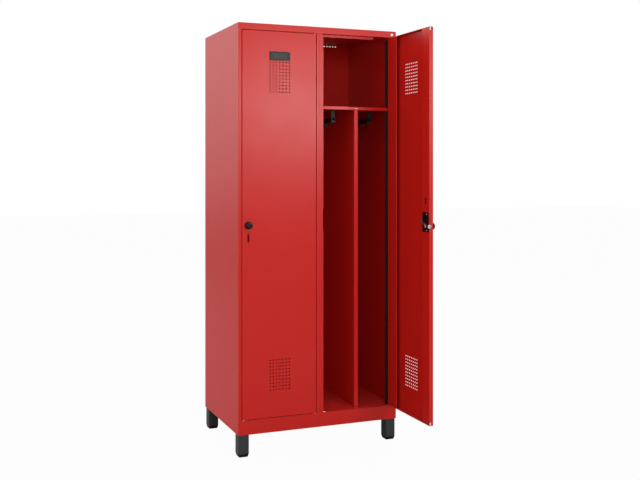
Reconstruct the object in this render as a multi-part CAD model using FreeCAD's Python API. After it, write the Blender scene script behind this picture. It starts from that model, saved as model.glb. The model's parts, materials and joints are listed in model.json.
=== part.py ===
"""Two-door steel cloakroom locker on four legs, one STEP file per sub-part.

Millimetres, +Z up. The front faces -Y. The origin is on the floor, under the
middle of the body. Pieces are laid out from the body's front left corner, with
x to the right and y into the depth, and moved to the origin when they are saved.
Each door is drawn shut, and then turned on its pivot to the angle it rests at.
"""
import FreeCAD, Part
import os
import math

# Overall sizes
BODY_WIDTH = 800.0
BODY_DEPTH = 500.0
BODY_HEIGHT = 1850.0
LEG_HEIGHT = 100.0
SHEET = 0.8                 # wall of every folded sheet

# Front frame
STILE = 16.0                # width of the frame beside each door
HEAD = 30.0                 # height of the frame above the doors
SILL = 64.0                 # height of the frame below the doors
LOCK_STOP = 12.0            # width of the stop flange on the lock side
HINGE_STOP = 30.0           # width of the stop flange on the hinge side
HEAD_STOP = 12.0            # height of the stop flange under the head
HEAD_STOP_CUT = 94.0        # stretch without a head stop, beside the hinge
STOP_GAP = 1.0              # door to stop flange
BASE_PLATE = 2.0            # thickness of the frame that the legs bolt to
BASE_RIM = 70.0             # width of that frame

# Doors
DOOR_GAP = 2.5              # door to frame, all round
DOOR_THICKNESS = 20.0
HINGE_LIP = 78.0            # width of the inner channel on the hinge side
LOCK_CHANNEL = 60.0         # width of the inner channel on the lock side
PIVOT_IN = 4.5              # pivot axis to the hinge edge of the door
PIVOT_BACK = 5.0            # pivot axis behind the front plane
PIVOT_RADIUS = 3.0
RUNNING = 0.1               # radial clearance of a turning or sliding piece
PIVOT_REACH = 6.5           # how far a pin enters the frame
HINGE_BLOCK = (14.0, 12.0, 12.0)
BRACKET_SHIFT = 2.0         # middle of a frame block from the pivot
WASHER_RIM = 1.8            # width of a washer round a pin
HEAD_SCREW = (7.0, 2.0)     # radius and height
HEAD_SCREW_DROP = 2.0       # screw below the middle of the head
REST_ANGLES = (0.0, 90.0)   # left and right door, degrees open

# Ventilation holes in the doors
VENT_COLUMNS = 7
VENT_ROWS = 10
VENT_PITCH_X = 15.8
VENT_PITCH_Z = 15.0
VENT_RADIUS = 3.25
VENT_FROM_DOOR_END = 192.5  # centre of each vent field to the end of the door
REAR_VENTS = 16
REAR_VENT_PITCH = 16.4
REAR_VENT_RADIUS = 3.0
REAR_VENT_DROP = 9.0        # rear vents below the roof
ROOF_VENT_IN = 16.0         # roof vents in front of the back

# Lock
KNOB_IN = 29.0              # knob axis to the free edge of the door
KNOB_Z = 1040.0
KNOB_RADIUS = 17.25
KNOB_HEIGHT = 21.0
KNOB_GAP = 0.3              # knob to door face
KNOB_SKIRT = 3.0            # straight part of the rim, at the door
KNOB_NECK = (2.5, 6.0)      # how far the neck is drawn in, and its height
KNOB_CROWN = (4.5, 4.0, 1.0)  # inset of the flat face, and the two steps of its bevel
SPINDLE_RADIUS = 4.0
SPINDLE_HOLE = 4.6
SPINDLE_HEAD = (5.5, 2.5)   # radius and height
DISC_RADIUS = 14.0
DISC_THICKNESS = 3.0
DISC_GAP = 1.0              # rod axis to the disc on one side and to the lugs on the other
CASE_LOW = 24.0             # lock case below the knob axis
CASE_HIGH = 62.0            # lock case above the knob axis
CASE_WIDTH = 49.0
CASE_IN = 3.0               # lock case to the free edge of the door
CASE_DEPTH = 3.0
CASE_ROUND = 1.0
CASE_CLEAR = 5.0            # cut in the stop flange round the lock case
CAM_THICKNESS = 2.0
CAM_GAP = 0.4
CAM_HUB = 8.0
CAM_BEND = (6.0, 36.0, 27.0)   # middle of the lever's bend from the knob axis, and its radius
CAM_STRIP = 6.0
SCREW_HEAD = (3.5, 1.2)     # radius and height
CASE_SCREW_IN = 14.0        # case screws from the case's edge
CASE_SCREW_ENDS = (6.0, 8.0)   # and from its lower and upper end
SLOT_DROP = 58.0            # padlock slot below the knob axis
SLOT_SIZE = (8.5, 36.0)
KEY_SLOT_RISE = 111.0       # slot in the inner channel above the knob axis
KEY_SLOT_SIZE = (10.0, 27.0)
ROD_RADIUS = 4.0
ROD_IN = 9.5                # rod axis to the free edge of the door
ROD_INSIDE = 8.0            # rod axis in front of the door's inner face
ROD_Y = DOOR_THICKNESS - ROD_INSIDE
ROD_HOLE = 5.5
ROD_SHORT = 1.5             # drawn-back rod tip to the end of the door
ROD_START = 16.0            # inner end of a rod to the knob axis
LUG_HEIGHT = 4.0
GUIDE_RADIUS = 7.0
GUIDE_HEIGHT = 14.0
BOLT_RADIUS = 9.0
BOLT_INSIDE = 2.0           # bolt axis in front of the door's inner face
BOLT_Y = DOOR_THICKNESS - BOLT_INSIDE
BOLT_LENGTH = 13.0
BOLT_PROUD = 1.0            # drawn-back bolt beyond the edge of the door
BOLT_CLEAR = 0.4

# Card holder
CARD_CENTRE_X = 200.0       # from the left edge of the unit
CARD_TOP_DROP = 91.5        # top of the card holder below the top of the door
CARD_HOLDER = (100.0, 40.0, 4.0)
CARD_ROUND = 3.0
CARD_WINDOW = (78.0, 29.0)
CARD_POCKET = (84.0, 33.0, 2.0)
CARD_THICKNESS = 1.0

# Inside
SHELF_DROP = 333.5          # top of the hat shelf below the frame head
SHELF_LIP = 15.0
SHELF_CLEAR = 0.5
DIVIDER_EDGE = 20.0         # width of the divider's folded front edge
DIVIDER_FOLD = 15.0         # depth of that fold
DIVIDER_BACK = 2.0          # divider edge behind the stop flange
RAIL_OFFSET = 97.0          # coat rail to the middle of the unit
RAIL_FRONT = 72.0
RAIL_REAR_GAP = 75.0        # end of the rail to the back panel
RAIL_DROP = 50.0            # top of the rail below the shelf
RAIL_SIZE = (20.0, 22.0)
RAIL_WALL = 2.0
RAIL_STEM = 6.0
RAIL_PAD = (20.0, 30.0, 2.0)
RAIL_SCREW_IN = 21.0        # pad screw from the end of the rail
HOOKS = 3
HOOK_FIRST = 0.7            # first hook from the rail's end, in hook spacings
HOOK_WIRE = 3.0
HOOK_BEND = 11.0
HOOK_SADDLE = (2.0, 12.0)   # wall and length
HOOK_DROP = 6.0
RIVET = (1.6, 0.4, 5.0)     # radius, height and distance from the middle of the shelf lip
TRIM_WIDTH = 16.5           # rubber trim on the hinge-side stop flange
TRIM_OVER = 1.5             # trim beyond the edge of the flange
TRIM_WALL = 0.6

# Legs
LEG_SIZE = 50.0
LEG_WALL = 2.0
LEG_INSET = 3.0
LEG_ROUND = 6.0
LEG_PLATE = 3.0
FOOT_HEIGHT = 14.0
FOOT_TAPER = 4.0
PLUG_HEIGHT = 10.0
PLUG_CLEAR = 0.25
LEG_BOLT = (4.0, 6.5, 5.0)  # shank radius, half width and height of the head
LEG_BOLT_END = 2.0          # thread beyond the nut
FOOT_ROUND = 4.0            # corner radius under the foot

PAST = 1.0                  # how far a cutter runs beyond what it cuts

# Worked-out places, from the front left corner of the body
BASE = LEG_HEIGHT
TOP = LEG_HEIGHT + BODY_HEIGHT
UNIT = BODY_WIDTH / 2
SILL_Z = BASE + SILL
HEAD_Z = TOP - HEAD
STOP_Y = DOOR_THICKNESS + STOP_GAP
INNER_BACK = BODY_DEPTH - SHEET
DOOR_X = (STILE + DOOR_GAP, UNIT - STILE - DOOR_GAP)
DOOR_Z = (SILL_Z + DOOR_GAP, HEAD_Z - DOOR_GAP)
PIVOT = (DOOR_X[1] - PIVOT_IN, PIVOT_BACK)
KNOB_X = DOOR_X[0] + KNOB_IN
ROD_X = DOOR_X[0] + ROD_IN
CHANNEL_Y = (DOOR_THICKNESS - SHEET, DOOR_THICKNESS)
SHELF_Z = HEAD_Z - SHELF_DROP
UNDER_SHELF = SHELF_Z - SHELF_LIP
CASE_X = (DOOR_X[0] + CASE_IN, DOOR_X[0] + CASE_IN + CASE_WIDTH)
CASE_BACK = DOOR_THICKNESS + CASE_DEPTH
RAIL_TOP = SHELF_Z - SHEET - RAIL_DROP
SIDES = ("left", "right")

pieces = {}


def box(x, y, z):
    """Block from three (low, high) pairs."""
    corner = FreeCAD.Vector(x[0], y[0], z[0])
    return Part.makeBox(x[1] - x[0], y[1] - y[0], z[1] - z[0], corner)


def about(centre, size):
    """(low, high) pair of a given size about a centre."""
    return (centre - size / 2, centre + size / 2)


def bar(radius, start, end):
    """Round bar between two points."""
    start = FreeCAD.Vector(*start)
    run = FreeCAD.Vector(*end) - start
    return Part.makeCylinder(radius, run.Length, start, run)


def past(low, high):
    """(low, high) pair widened so that a cutter runs beyond both faces."""
    return (low - PAST, high + PAST)


def upright_bar(radius, place, z):
    """Round bar along Z at a place (x, y), from the low to the high end of z."""
    return bar(radius, (place[0], place[1], z[0]), (place[0], place[1], z[1]))


def level_bar(radius, place, y):
    """Round bar along Y at a place (x, z), from the front to the back end of y."""
    return bar(radius, (place[0], y[0], place[1]), (place[0], y[1], place[1]))


def fuse(shapes):
    """One solid from touching or overlapping shapes."""
    return shapes[0].fuse(shapes[1:]).removeSplitter()


def moved(shape, x=0.0, y=0.0, z=0.0):
    """Copy of a shape, shifted."""
    copy = shape.copy()
    copy.translate(FreeCAD.Vector(x, y, z))
    return copy


def rounded_square(x, y, z, size, radius):
    """Closed wire of a square with round corners, about a centre."""
    half = size / 2
    flat = half - radius
    diagonal = flat + radius * math.sqrt(0.5)
    edges = []
    for turn in range(4):
        c, s = ((1, 0), (0, 1), (-1, 0), (0, -1))[turn]
        place = [FreeCAD.Vector(x + c * a - s * b, y + s * a + c * b, z)
                 for a, b in ((half, -flat), (half, flat), (diagonal, diagonal), (flat, half))]
        edges.append(Part.LineSegment(place[0], place[1]).toShape())
        edges.append(Part.Arc(place[1], place[2], place[3]).toShape())
    return Part.Wire(edges)


def add(name, shapes, unit=0, door=None):
    """Keep a node: its solids are placed in their unit, and on their door if they have one."""
    placed = []
    for shape in shapes if isinstance(shapes, list) else [shapes]:
        shape = shape.copy()
        if door is not None:
            pivot = FreeCAD.Vector(PIVOT[0], PIVOT[1], 0)
            shape.rotate(pivot, FreeCAD.Vector(0, 0, 1), REST_ANGLES[door])
        shape.translate(FreeCAD.Vector(unit * UNIT - BODY_WIDTH / 2, -BODY_DEPTH / 2, 0))
        placed.extend(shape.Solids)
    pieces[name] = pieces.get(name, []) + placed


# ---------------------------------------------------------------- body

def upright(lock_side, outer):
    """Side sheet or partition with its front stile, in a unit's own x.

    On the lock side it stands at x = 0, and on the hinge side at x = UNIT.
    """
    def across(low, high):
        return (low, high) if lock_side else (UNIT - high, UNIT - low)

    stop = LOCK_STOP if lock_side else HINGE_STOP
    wall_z = (BASE, TOP) if outer else (SILL_Z, TOP - SHEET)
    wall_y = (0, BODY_DEPTH) if outer else (SHEET, INNER_BACK)
    frame_z = (SILL_Z, HEAD_Z)
    shape = fuse([
        box(across(0, SHEET), wall_y, wall_z),
        box(across(0, STILE), (0, SHEET), frame_z),
        box(across(STILE - SHEET, STILE), (0, STOP_Y + SHEET), frame_z),
        box(across(STILE - SHEET, STILE + stop), (STOP_Y, STOP_Y + SHEET), frame_z),
    ])
    notch_z = (UNDER_SHELF - SHELF_CLEAR, SHELF_Z + SHELF_CLEAR)
    shape = shape.cut(box(across(STILE, STILE + stop), (STOP_Y, STOP_Y + SHEET), notch_z))
    head_notch = (HEAD_Z - HEAD_STOP, HEAD_Z)
    shape = shape.cut(box(across(STILE, STILE + stop), (STOP_Y, STOP_Y + SHEET), head_notch))
    if lock_side:
        lock_z = (KNOB_Z - CASE_LOW - CASE_CLEAR, KNOB_Z + CASE_HIGH + CASE_CLEAR)
        lock_cut = box((STILE, STILE + stop + PAST), past(STOP_Y, STOP_Y + SHEET), lock_z)
        stile = past(STILE - SHEET, STILE)
        hole = bar(BOLT_RADIUS + BOLT_CLEAR, (stile[0], BOLT_Y, KNOB_Z), (stile[1], BOLT_Y, KNOB_Z))
        mouth = box(stile, (BOLT_Y, STOP_Y + PAST + SHEET), about(KNOB_Z, 2 * (BOLT_RADIUS + BOLT_CLEAR)))
        shape = shape.cut([lock_cut, hole, mouth])
    return shape


def frame_holes(z):
    """Cutters for the rod and the pivot pin of both doors, through a level sheet at z."""
    cutters = []
    through = past(z, z + SHEET)
    for unit in range(2):
        x = unit * UNIT
        cutters.append(upright_bar(ROD_HOLE, (x + ROD_X, ROD_Y), through))
        cutters.append(upright_bar(PIVOT_RADIUS + RUNNING, (x + PIVOT[0], PIVOT[1]), through))
    return cutters


def rear_vents(start, end):
    """Round cutters in a row for both units; start and end give (y, z)."""
    cutters = []
    for unit in range(2):
        for i in range(REAR_VENTS):
            x = unit * UNIT + UNIT / 2 + (i - (REAR_VENTS - 1) / 2) * REAR_VENT_PITCH
            cutters.append(bar(REAR_VENT_RADIUS, (x,) + start, (x,) + end))
    return cutters


def top_panel():
    """Roof sheet with the frame head folded down from its front edge."""
    parts = [
        box((SHEET, BODY_WIDTH - SHEET), (0, INNER_BACK), (TOP - SHEET, TOP)),
        box((SHEET, BODY_WIDTH - SHEET), (0, SHEET), (HEAD_Z, TOP)),
    ]
    for unit in range(2):
        x = unit * UNIT
        inside = (x + SHEET, x + UNIT - SHEET)
        stop = (x + STILE, x + UNIT - STILE - HEAD_STOP_CUT)
        parts.append(box(inside, (0, STOP_Y + SHEET), (HEAD_Z, HEAD_Z + SHEET)))
        parts.append(box(stop, (STOP_Y, STOP_Y + SHEET), (HEAD_Z - HEAD_STOP, HEAD_Z + SHEET)))
    shape = fuse(parts).cut(frame_holes(HEAD_Z))
    row_y = INNER_BACK - ROOF_VENT_IN
    low, high = past(TOP - SHEET, TOP)
    return shape.cut(rear_vents((row_y, low), (row_y, high)))


def bottom_panel():
    """Compartment floor with the frame sill folded down from its front edge."""
    shape = fuse([
        box((SHEET, BODY_WIDTH - SHEET), (0, INNER_BACK), (SILL_Z - SHEET, SILL_Z)),
        box((SHEET, BODY_WIDTH - SHEET), (0, SHEET), (BASE, SILL_Z)),
    ])
    return shape.cut(frame_holes(SILL_Z - SHEET))


def back_panel():
    """Flat rear sheet with a row of vents under the roof."""
    shape = box((SHEET, BODY_WIDTH - SHEET), (INNER_BACK, BODY_DEPTH), (BASE, TOP))
    row_z = TOP - REAR_VENT_DROP
    front, rear = past(INNER_BACK, BODY_DEPTH)
    return shape.cut(rear_vents((front, row_z), (rear, row_z)))


def base_frame():
    """Flat frame under the body that takes the leg bolts."""
    z = (BASE, BASE + BASE_PLATE)
    shape = box((SHEET, BODY_WIDTH - SHEET), (SHEET, INNER_BACK), z)
    inside = box((BASE_RIM, BODY_WIDTH - BASE_RIM), (BASE_RIM, BODY_DEPTH - BASE_RIM), past(*z))
    return shape.cut([inside] + [upright_bar(LEG_BOLT[0], place, past(*z)) for place in leg_centres()])


def build_body():
    """Sheets of the body."""
    add("left_side_panel", upright(True, True), unit=0)
    add("left_center_partition", upright(False, False), unit=0)
    add("right_center_partition", upright(True, False), unit=1)
    add("right_side_panel", upright(False, True), unit=1)
    add("top_panel", top_panel())
    add("bottom_panel", bottom_panel())
    add("back_panel", back_panel())
    add("base_frame", base_frame())


# ---------------------------------------------------------------- inside

def hat_shelf():
    """Shelf with a folded front lip that sits in notches in the stop flanges."""
    reach = (SHEET + SHELF_CLEAR, UNIT - SHEET - SHELF_CLEAR)
    lip_x = (STILE + SHELF_CLEAR, UNIT - STILE - SHELF_CLEAR)
    lip_z = (UNDER_SHELF, SHELF_Z)
    behind = STOP_Y + SHEET + SHELF_CLEAR
    shape = fuse([
        box(reach, (behind, INNER_BACK), (SHELF_Z - SHEET, SHELF_Z)),
        box(lip_x, (STOP_Y, behind), (SHELF_Z - SHEET, SHELF_Z)),
        box(lip_x, (STOP_Y, STOP_Y + SHEET), lip_z),
        box(lip_x, (STOP_Y, STOP_Y + SHELF_LIP), (UNDER_SHELF, UNDER_SHELF + SHEET)),
    ])
    return shape


def divider():
    """Upright divider below the shelf: a sheet with a folded box along its front edge."""
    centre = UNIT / 2
    front = STOP_Y + SHEET + DIVIDER_BACK
    fold = front + DIVIDER_FOLD
    edge = about(centre, DIVIDER_EDGE)
    z = (SILL_Z, UNDER_SHELF)
    tall = (SILL_Z, SHELF_Z - SHEET)
    hollow = box((edge[0] + SHEET, edge[1] - SHEET), (front + SHEET, fold - SHEET), past(*z))
    return fuse([
        box(edge, (front, fold), z).cut(hollow),
        box(about(centre, SHEET), (fold - SHEET, INNER_BACK), z),
        box(about(centre, SHEET), (STOP_Y + SHELF_LIP + SHEET, INNER_BACK), (z[1] - SHEET, tall[1])),
    ])


def coat_rail():
    """Square tube hung under the shelf by a stem and a pad at each end."""
    ends = (RAIL_FRONT, INNER_BACK - RAIL_REAR_GAP)
    z = (RAIL_TOP - RAIL_SIZE[1], RAIL_TOP)
    under = SHELF_Z - SHEET
    tube = box(about(0, RAIL_SIZE[0]), ends, z)
    bore_x = about(0, RAIL_SIZE[0] - 2 * RAIL_WALL)
    bore_y = (ends[0] + RAIL_STEM, ends[1] - RAIL_STEM)
    bore_z = (z[0] + RAIL_WALL, z[1] - RAIL_WALL)
    tube = tube.cut(box(bore_x, bore_y, bore_z))
    parts = [tube]
    for start, inward in ((ends[0], 1), (ends[1], -1)):
        stem = sorted((start, start + inward * RAIL_STEM))
        pad = sorted((start, start + inward * RAIL_PAD[1]))
        parts.append(box(about(0, RAIL_SIZE[0]), stem, (z[0], under)))
        parts.append(box(about(0, RAIL_PAD[0]), pad, (under - RAIL_PAD[2], under)))
    return fuse(parts)


def coat_hook(y):
    """Double hook on a saddle round the rail, at a depth y."""
    wall, length = HOOK_SADDLE
    z = (RAIL_TOP - RAIL_SIZE[1], RAIL_TOP)
    saddle = box(about(0, RAIL_SIZE[0] + 2 * wall), about(y, length), (z[0] - wall, z[1] + wall))
    saddle = saddle.cut(box(about(0, RAIL_SIZE[0]), about(y, length + 2 * PAST), z))
    low = z[0] - wall - HOOK_DROP
    parts = [saddle, bar(HOOK_WIRE, (0, y, z[0] - wall / 2), (0, y, low))]
    for side in (-1, 1):
        circle = Part.Circle(FreeCAD.Vector(0, y, low), FreeCAD.Vector(0, 0, 1), HOOK_WIRE)
        face = Part.Face(Part.Wire(circle.toShape()))
        centre = FreeCAD.Vector(side * HOOK_BEND, y, low)
        parts.append(face.revolve(centre, FreeCAD.Vector(0, 1, 0), -side * 180))
        tip = FreeCAD.Vector(side * 2 * HOOK_BEND, y, low)
        parts.append(Part.makeSphere(HOOK_WIRE, tip))
    return fuse(parts)


def edge_trims():
    """Rubber trim over the free edge of the hinge-side stop flange, above and below the shelf."""
    edge = UNIT - STILE - HINGE_STOP
    x = (edge - TRIM_OVER, edge - TRIM_OVER + TRIM_WIDTH)
    y = (STOP_Y - TRIM_WALL, STOP_Y + SHEET + TRIM_WALL)
    low = (SILL_Z, UNDER_SHELF - SHELF_CLEAR)
    high = (SHELF_Z + SHELF_CLEAR, HEAD_Z - HEAD_STOP)
    groove = box((edge, x[1] + PAST), (STOP_Y, STOP_Y + SHEET), past(SILL_Z, HEAD_Z))
    return [box(x, y, z).cut(groove) for z in (low, high)]


def build_inside():
    """Shelf, divider, coat rails and trims of both units, with their fixings."""
    rail_end = INNER_BACK - RAIL_REAR_GAP
    screw_y = (RAIL_FRONT + RAIL_SCREW_IN, rail_end - RAIL_SCREW_IN)
    spacing = (rail_end - RAIL_FRONT) / HOOKS
    for unit, side in enumerate(SIDES):
        add(side + "_hat_shelf", hat_shelf(), unit)
        add(side + "_divider", divider(), unit)
        add("edge_trims", edge_trims(), unit)
        for offset in (-RAIL_OFFSET, RAIL_OFFSET):
            x = UNIT / 2 + offset
            add(side + "_coat_rails", moved(coat_rail(), x), unit)
            hooks = [moved(coat_hook(RAIL_FRONT + spacing * (i + HOOK_FIRST)), x) for i in range(HOOKS)]
            add(side + "_coat_hooks", hooks, unit)
            under = SHELF_Z - SHEET - RAIL_PAD[2]
            screws = [upright_bar(SCREW_HEAD[0], (x, y), (under - SCREW_HEAD[1], under)) for y in screw_y]
            add("rail_screws", screws, unit)
        rivet_z = UNDER_SHELF + SHELF_LIP / 2
        radius, height, apart = RIVET
        spots = [(UNIT / 2 + dx, rivet_z) for dx in (-apart, apart)]
        rivets = [level_bar(radius, spot, (STOP_Y - height, STOP_Y)) for spot in spots]
        add("shelf_rivets", rivets, unit)


# ---------------------------------------------------------------- doors

def bolt_cutters(x):
    """Cutters for the side bolt through the free edge of a door, open towards the inside."""
    hole = BOLT_RADIUS + BOLT_CLEAR / 2
    return [
        bar(hole, (x[0], BOLT_Y, KNOB_Z), (x[1], BOLT_Y, KNOB_Z)),
        box(x, (BOLT_Y, DOOR_THICKNESS + PAST), about(KNOB_Z, 2 * hole)),
    ]


def door_skin():
    """Outer sheet of a door: a tray with its edges folded back, and all its holes."""
    hollow_x = (DOOR_X[0] + SHEET, DOOR_X[1] - SHEET)
    hollow_z = (DOOR_Z[0] + SHEET, DOOR_Z[1] - SHEET)
    tray = box(DOOR_X, (0, DOOR_THICKNESS), DOOR_Z)
    tray = tray.cut(box(hollow_x, (SHEET, DOOR_THICKNESS + PAST), hollow_z))
    through = past(0, SHEET)
    cutters = []
    for field in (DOOR_Z[0] + VENT_FROM_DOOR_END, DOOR_Z[1] - VENT_FROM_DOOR_END - VENT_PITCH_Z):
        for i in range(VENT_COLUMNS):
            for j in range(VENT_ROWS):
                x = UNIT / 2 + (i - (VENT_COLUMNS - 1) / 2) * VENT_PITCH_X
                z = field + (j - (VENT_ROWS - 1) / 2) * VENT_PITCH_Z
                cutters.append(level_bar(VENT_RADIUS, (x, z), through))
    cutters.append(level_bar(SPINDLE_HOLE, (KNOB_X, KNOB_Z), through))
    slot_z = KNOB_Z - SLOT_DROP
    half = (SLOT_SIZE[1] - SLOT_SIZE[0]) / 2
    cutters.append(box(about(KNOB_X, SLOT_SIZE[0]), through, (slot_z - half, slot_z + half)))
    for z in (slot_z - half, slot_z + half):
        cutters.append(level_bar(SLOT_SIZE[0] / 2, (KNOB_X, z), through))
    edge = past(DOOR_X[0], DOOR_X[0] + SHEET)
    cutters += bolt_cutters(edge)
    for end, inward in ((DOOR_Z[0], 1), (DOOR_Z[1], -1)):
        level = past(*sorted((end, end + inward * SHEET)))
        cutters.append(upright_bar(ROD_RADIUS + BOLT_CLEAR, (ROD_X, ROD_Y), level))
        cutters.append(upright_bar(PIVOT_RADIUS, PIVOT, level))
        notch = sorted((end + inward * SHEET, end + inward * (SHEET + GUIDE_HEIGHT)))
        cutters.append(box(edge, about(ROD_Y, GUIDE_HEIGHT), notch))
    return tray.cut(cutters)


def hinge_channel():
    """Inner channel along the hinge edge."""
    x = (DOOR_X[1] - SHEET - HINGE_LIP, DOOR_X[1] - SHEET)
    z = (DOOR_Z[0] + SHEET, DOOR_Z[1] - SHEET)
    web_z = (z[0] + HINGE_BLOCK[2], z[1] - HINGE_BLOCK[2])
    return fuse([
        box(x, CHANNEL_Y, z),
        box((x[1] - SHEET, x[1]), (SHEET, CHANNEL_Y[1]), web_z),
    ])


def lock_channel():
    """Closed inner channel along the free edge, which hides the lock rods."""
    x = (DOOR_X[0] + SHEET, DOOR_X[0] + SHEET + LOCK_CHANNEL)
    z = (DOOR_Z[0] + SHEET, DOOR_Z[1] - SHEET)
    web_z = (z[0] + GUIDE_HEIGHT, z[1] - GUIDE_HEIGHT)
    shape = fuse([
        box(x, CHANNEL_Y, z),
        box((x[1] - SHEET, x[1]), (SHEET, CHANNEL_Y[1]), z),
        box((x[0], x[0] + SHEET), (SHEET, CHANNEL_Y[1]), web_z),
    ])
    through = past(*CHANNEL_Y)
    slot_z = KNOB_Z + KEY_SLOT_RISE
    bolt_x = (x[0] - PAST, DOOR_X[0] + BOLT_LENGTH - BOLT_PROUD + BOLT_CLEAR)
    return shape.cut(bolt_cutters(bolt_x) + [
        level_bar(SPINDLE_HOLE, (KNOB_X, KNOB_Z), through),
        box(about(KNOB_X, KEY_SLOT_SIZE[0]), through, about(slot_z, KEY_SLOT_SIZE[1])),
    ])


def hinge_pins():
    """Pin on a block in each hinge corner of the door."""
    x = (DOOR_X[1] - SHEET - HINGE_BLOCK[0], DOOR_X[1] - SHEET)
    y = (SHEET, SHEET + HINGE_BLOCK[1])
    pins = []
    for end, inward, frame in ((DOOR_Z[0], 1, SILL_Z), (DOOR_Z[1], -1, HEAD_Z)):
        root = end + inward * SHEET
        z = sorted((root, root + inward * HINGE_BLOCK[2]))
        pin = sorted((root + inward * PAST, frame - inward * PIVOT_REACH))
        pins.append(fuse([box(x, y, z), upright_bar(PIVOT_RADIUS, PIVOT, pin)]))
    return pins


def hinge_brackets():
    """Blocks on the frame that the pins turn in."""
    x = about(PIVOT[0] - BRACKET_SHIFT, HINGE_BLOCK[0])
    y = (SHEET, SHEET + HINGE_BLOCK[1])
    levels = ((HEAD_Z + SHEET, HEAD_Z + PIVOT_REACH), (SILL_Z - PIVOT_REACH, SILL_Z - SHEET))
    return [box(x, y, z).cut(upright_bar(PIVOT_RADIUS + RUNNING, PIVOT, past(*z))) for z in levels]


def card_holder():
    """Frame for a name card, with a pocket behind its window."""
    z = DOOR_Z[1] - CARD_TOP_DROP - CARD_HOLDER[1] / 2
    frame = box(about(CARD_CENTRE_X, CARD_HOLDER[0]), (-CARD_HOLDER[2], 0), about(z, CARD_HOLDER[1]))
    corners = [edge for edge in frame.Edges if edge.Vertexes[0].Y != edge.Vertexes[1].Y]
    frame = frame.makeFillet(CARD_ROUND, corners)
    window = box(about(CARD_CENTRE_X, CARD_WINDOW[0]), past(-CARD_HOLDER[2], 0), about(z, CARD_WINDOW[1]))
    pocket = box(about(CARD_CENTRE_X, CARD_POCKET[0]), (-CARD_POCKET[2], PAST), about(z, CARD_POCKET[1]))
    card_y = (-CARD_POCKET[2], CARD_THICKNESS - CARD_POCKET[2])
    card = box(about(CARD_CENTRE_X, CARD_POCKET[0]), card_y, about(z, CARD_POCKET[1]))
    return frame.cut([window, pocket]), card


def lock_case():
    """Black case on the inner channel, with a bore for the spindle."""
    z = (KNOB_Z - CASE_LOW, KNOB_Z + CASE_HIGH)
    case = box(CASE_X, (DOOR_THICKNESS, CASE_BACK), z)
    rear = [edge for edge in case.Edges
            if all(vertex.Y > DOOR_THICKNESS + CASE_DEPTH / 2 for vertex in edge.Vertexes)]
    case = case.makeFillet(CASE_ROUND, rear)
    bore = SPINDLE_RADIUS + RUNNING
    bolt_x = (CASE_X[0] - PAST, DOOR_X[0] + BOLT_LENGTH - BOLT_PROUD + BOLT_CLEAR)
    recess = bar(BOLT_RADIUS + BOLT_CLEAR / 2, (bolt_x[0], BOLT_Y, KNOB_Z), (bolt_x[1], BOLT_Y, KNOB_Z))
    return case.cut([recess, level_bar(bore, (KNOB_X, KNOB_Z), past(DOOR_THICKNESS, CASE_BACK))])


def lock_screws():
    """Two screws that hold the lock case."""
    x = CASE_X[0] + CASE_SCREW_IN
    levels = (KNOB_Z - CASE_LOW + CASE_SCREW_ENDS[0], KNOB_Z + CASE_HIGH - CASE_SCREW_ENDS[1])
    return [level_bar(SCREW_HEAD[0], (x, z), (CASE_BACK, CASE_BACK + SCREW_HEAD[1])) for z in levels]


def rod_guides():
    """Bushes at the ends of the lock channel that the rods slide in."""
    guides = []
    for low in (DOOR_Z[0] + SHEET, DOOR_Z[1] - SHEET - GUIDE_HEIGHT):
        z = (low, low + GUIDE_HEIGHT)
        hole = upright_bar(ROD_RADIUS + RUNNING, (ROD_X, ROD_Y), past(*z))
        guides.append(upright_bar(GUIDE_RADIUS, (ROD_X, ROD_Y), z).cut(hole))
    return guides


def knob():
    """Round turn knob with a domed face and a waist."""
    neck, neck_height = KNOB_NECK
    inset, bevel, dome = KNOB_CROWN
    outline = [(0, 0), (KNOB_RADIUS, 0), (KNOB_RADIUS, KNOB_SKIRT), (KNOB_RADIUS - neck, neck_height),
               (KNOB_RADIUS - neck, KNOB_HEIGHT - bevel), (KNOB_RADIUS - inset, KNOB_HEIGHT - dome),
               (0, KNOB_HEIGHT - KNOB_GAP)]
    points = [FreeCAD.Vector(KNOB_X + r, -KNOB_GAP - h, KNOB_Z) for r, h in outline]
    face = Part.Face(Part.makePolygon(points + points[:1]))
    return face.revolve(FreeCAD.Vector(KNOB_X, 0, KNOB_Z), FreeCAD.Vector(0, 1, 0), 360)


def knob_spindle():
    """Shaft from the knob through the lock, with the disc that drives the rods."""
    cam_back = CASE_BACK + CAM_GAP + CAM_THICKNESS
    disc = ROD_Y + DISC_GAP
    axis = (KNOB_X, KNOB_Z)
    return fuse([
        level_bar(SPINDLE_RADIUS, axis, (-KNOB_GAP, cam_back)),
        level_bar(DISC_RADIUS, axis, (disc, disc + DISC_THICKNESS)),
        level_bar(SPINDLE_HEAD[0], axis, (cam_back, cam_back + SPINDLE_HEAD[1])),
    ])


def lock_cam():
    """Curved lever on the inner end of the spindle."""
    y = (CASE_BACK + CAM_GAP, CASE_BACK + CAM_GAP + CAM_THICKNESS)
    bend_x, bend_z, bend = KNOB_X + CAM_BEND[0], KNOB_Z + CAM_BEND[1], CAM_BEND[2]

    def disc(x, z, radius):
        return level_bar(radius, (x, z), y)

    ring = disc(bend_x, bend_z, bend + CAM_STRIP / 2).cut(disc(bend_x, bend_z, bend - CAM_STRIP / 2))
    quarter = box((KNOB_X, bend_x + 2 * bend), y, (bend_z - 2 * bend, bend_z))
    hub = disc(KNOB_X, KNOB_Z, CAM_HUB)
    tip = disc(bend_x + bend, bend_z, CAM_STRIP / 2)
    cam = fuse([hub, ring.common(quarter), tip])
    return cam.cut(level_bar(SPINDLE_RADIUS, (KNOB_X, KNOB_Z), past(*y)))


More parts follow.
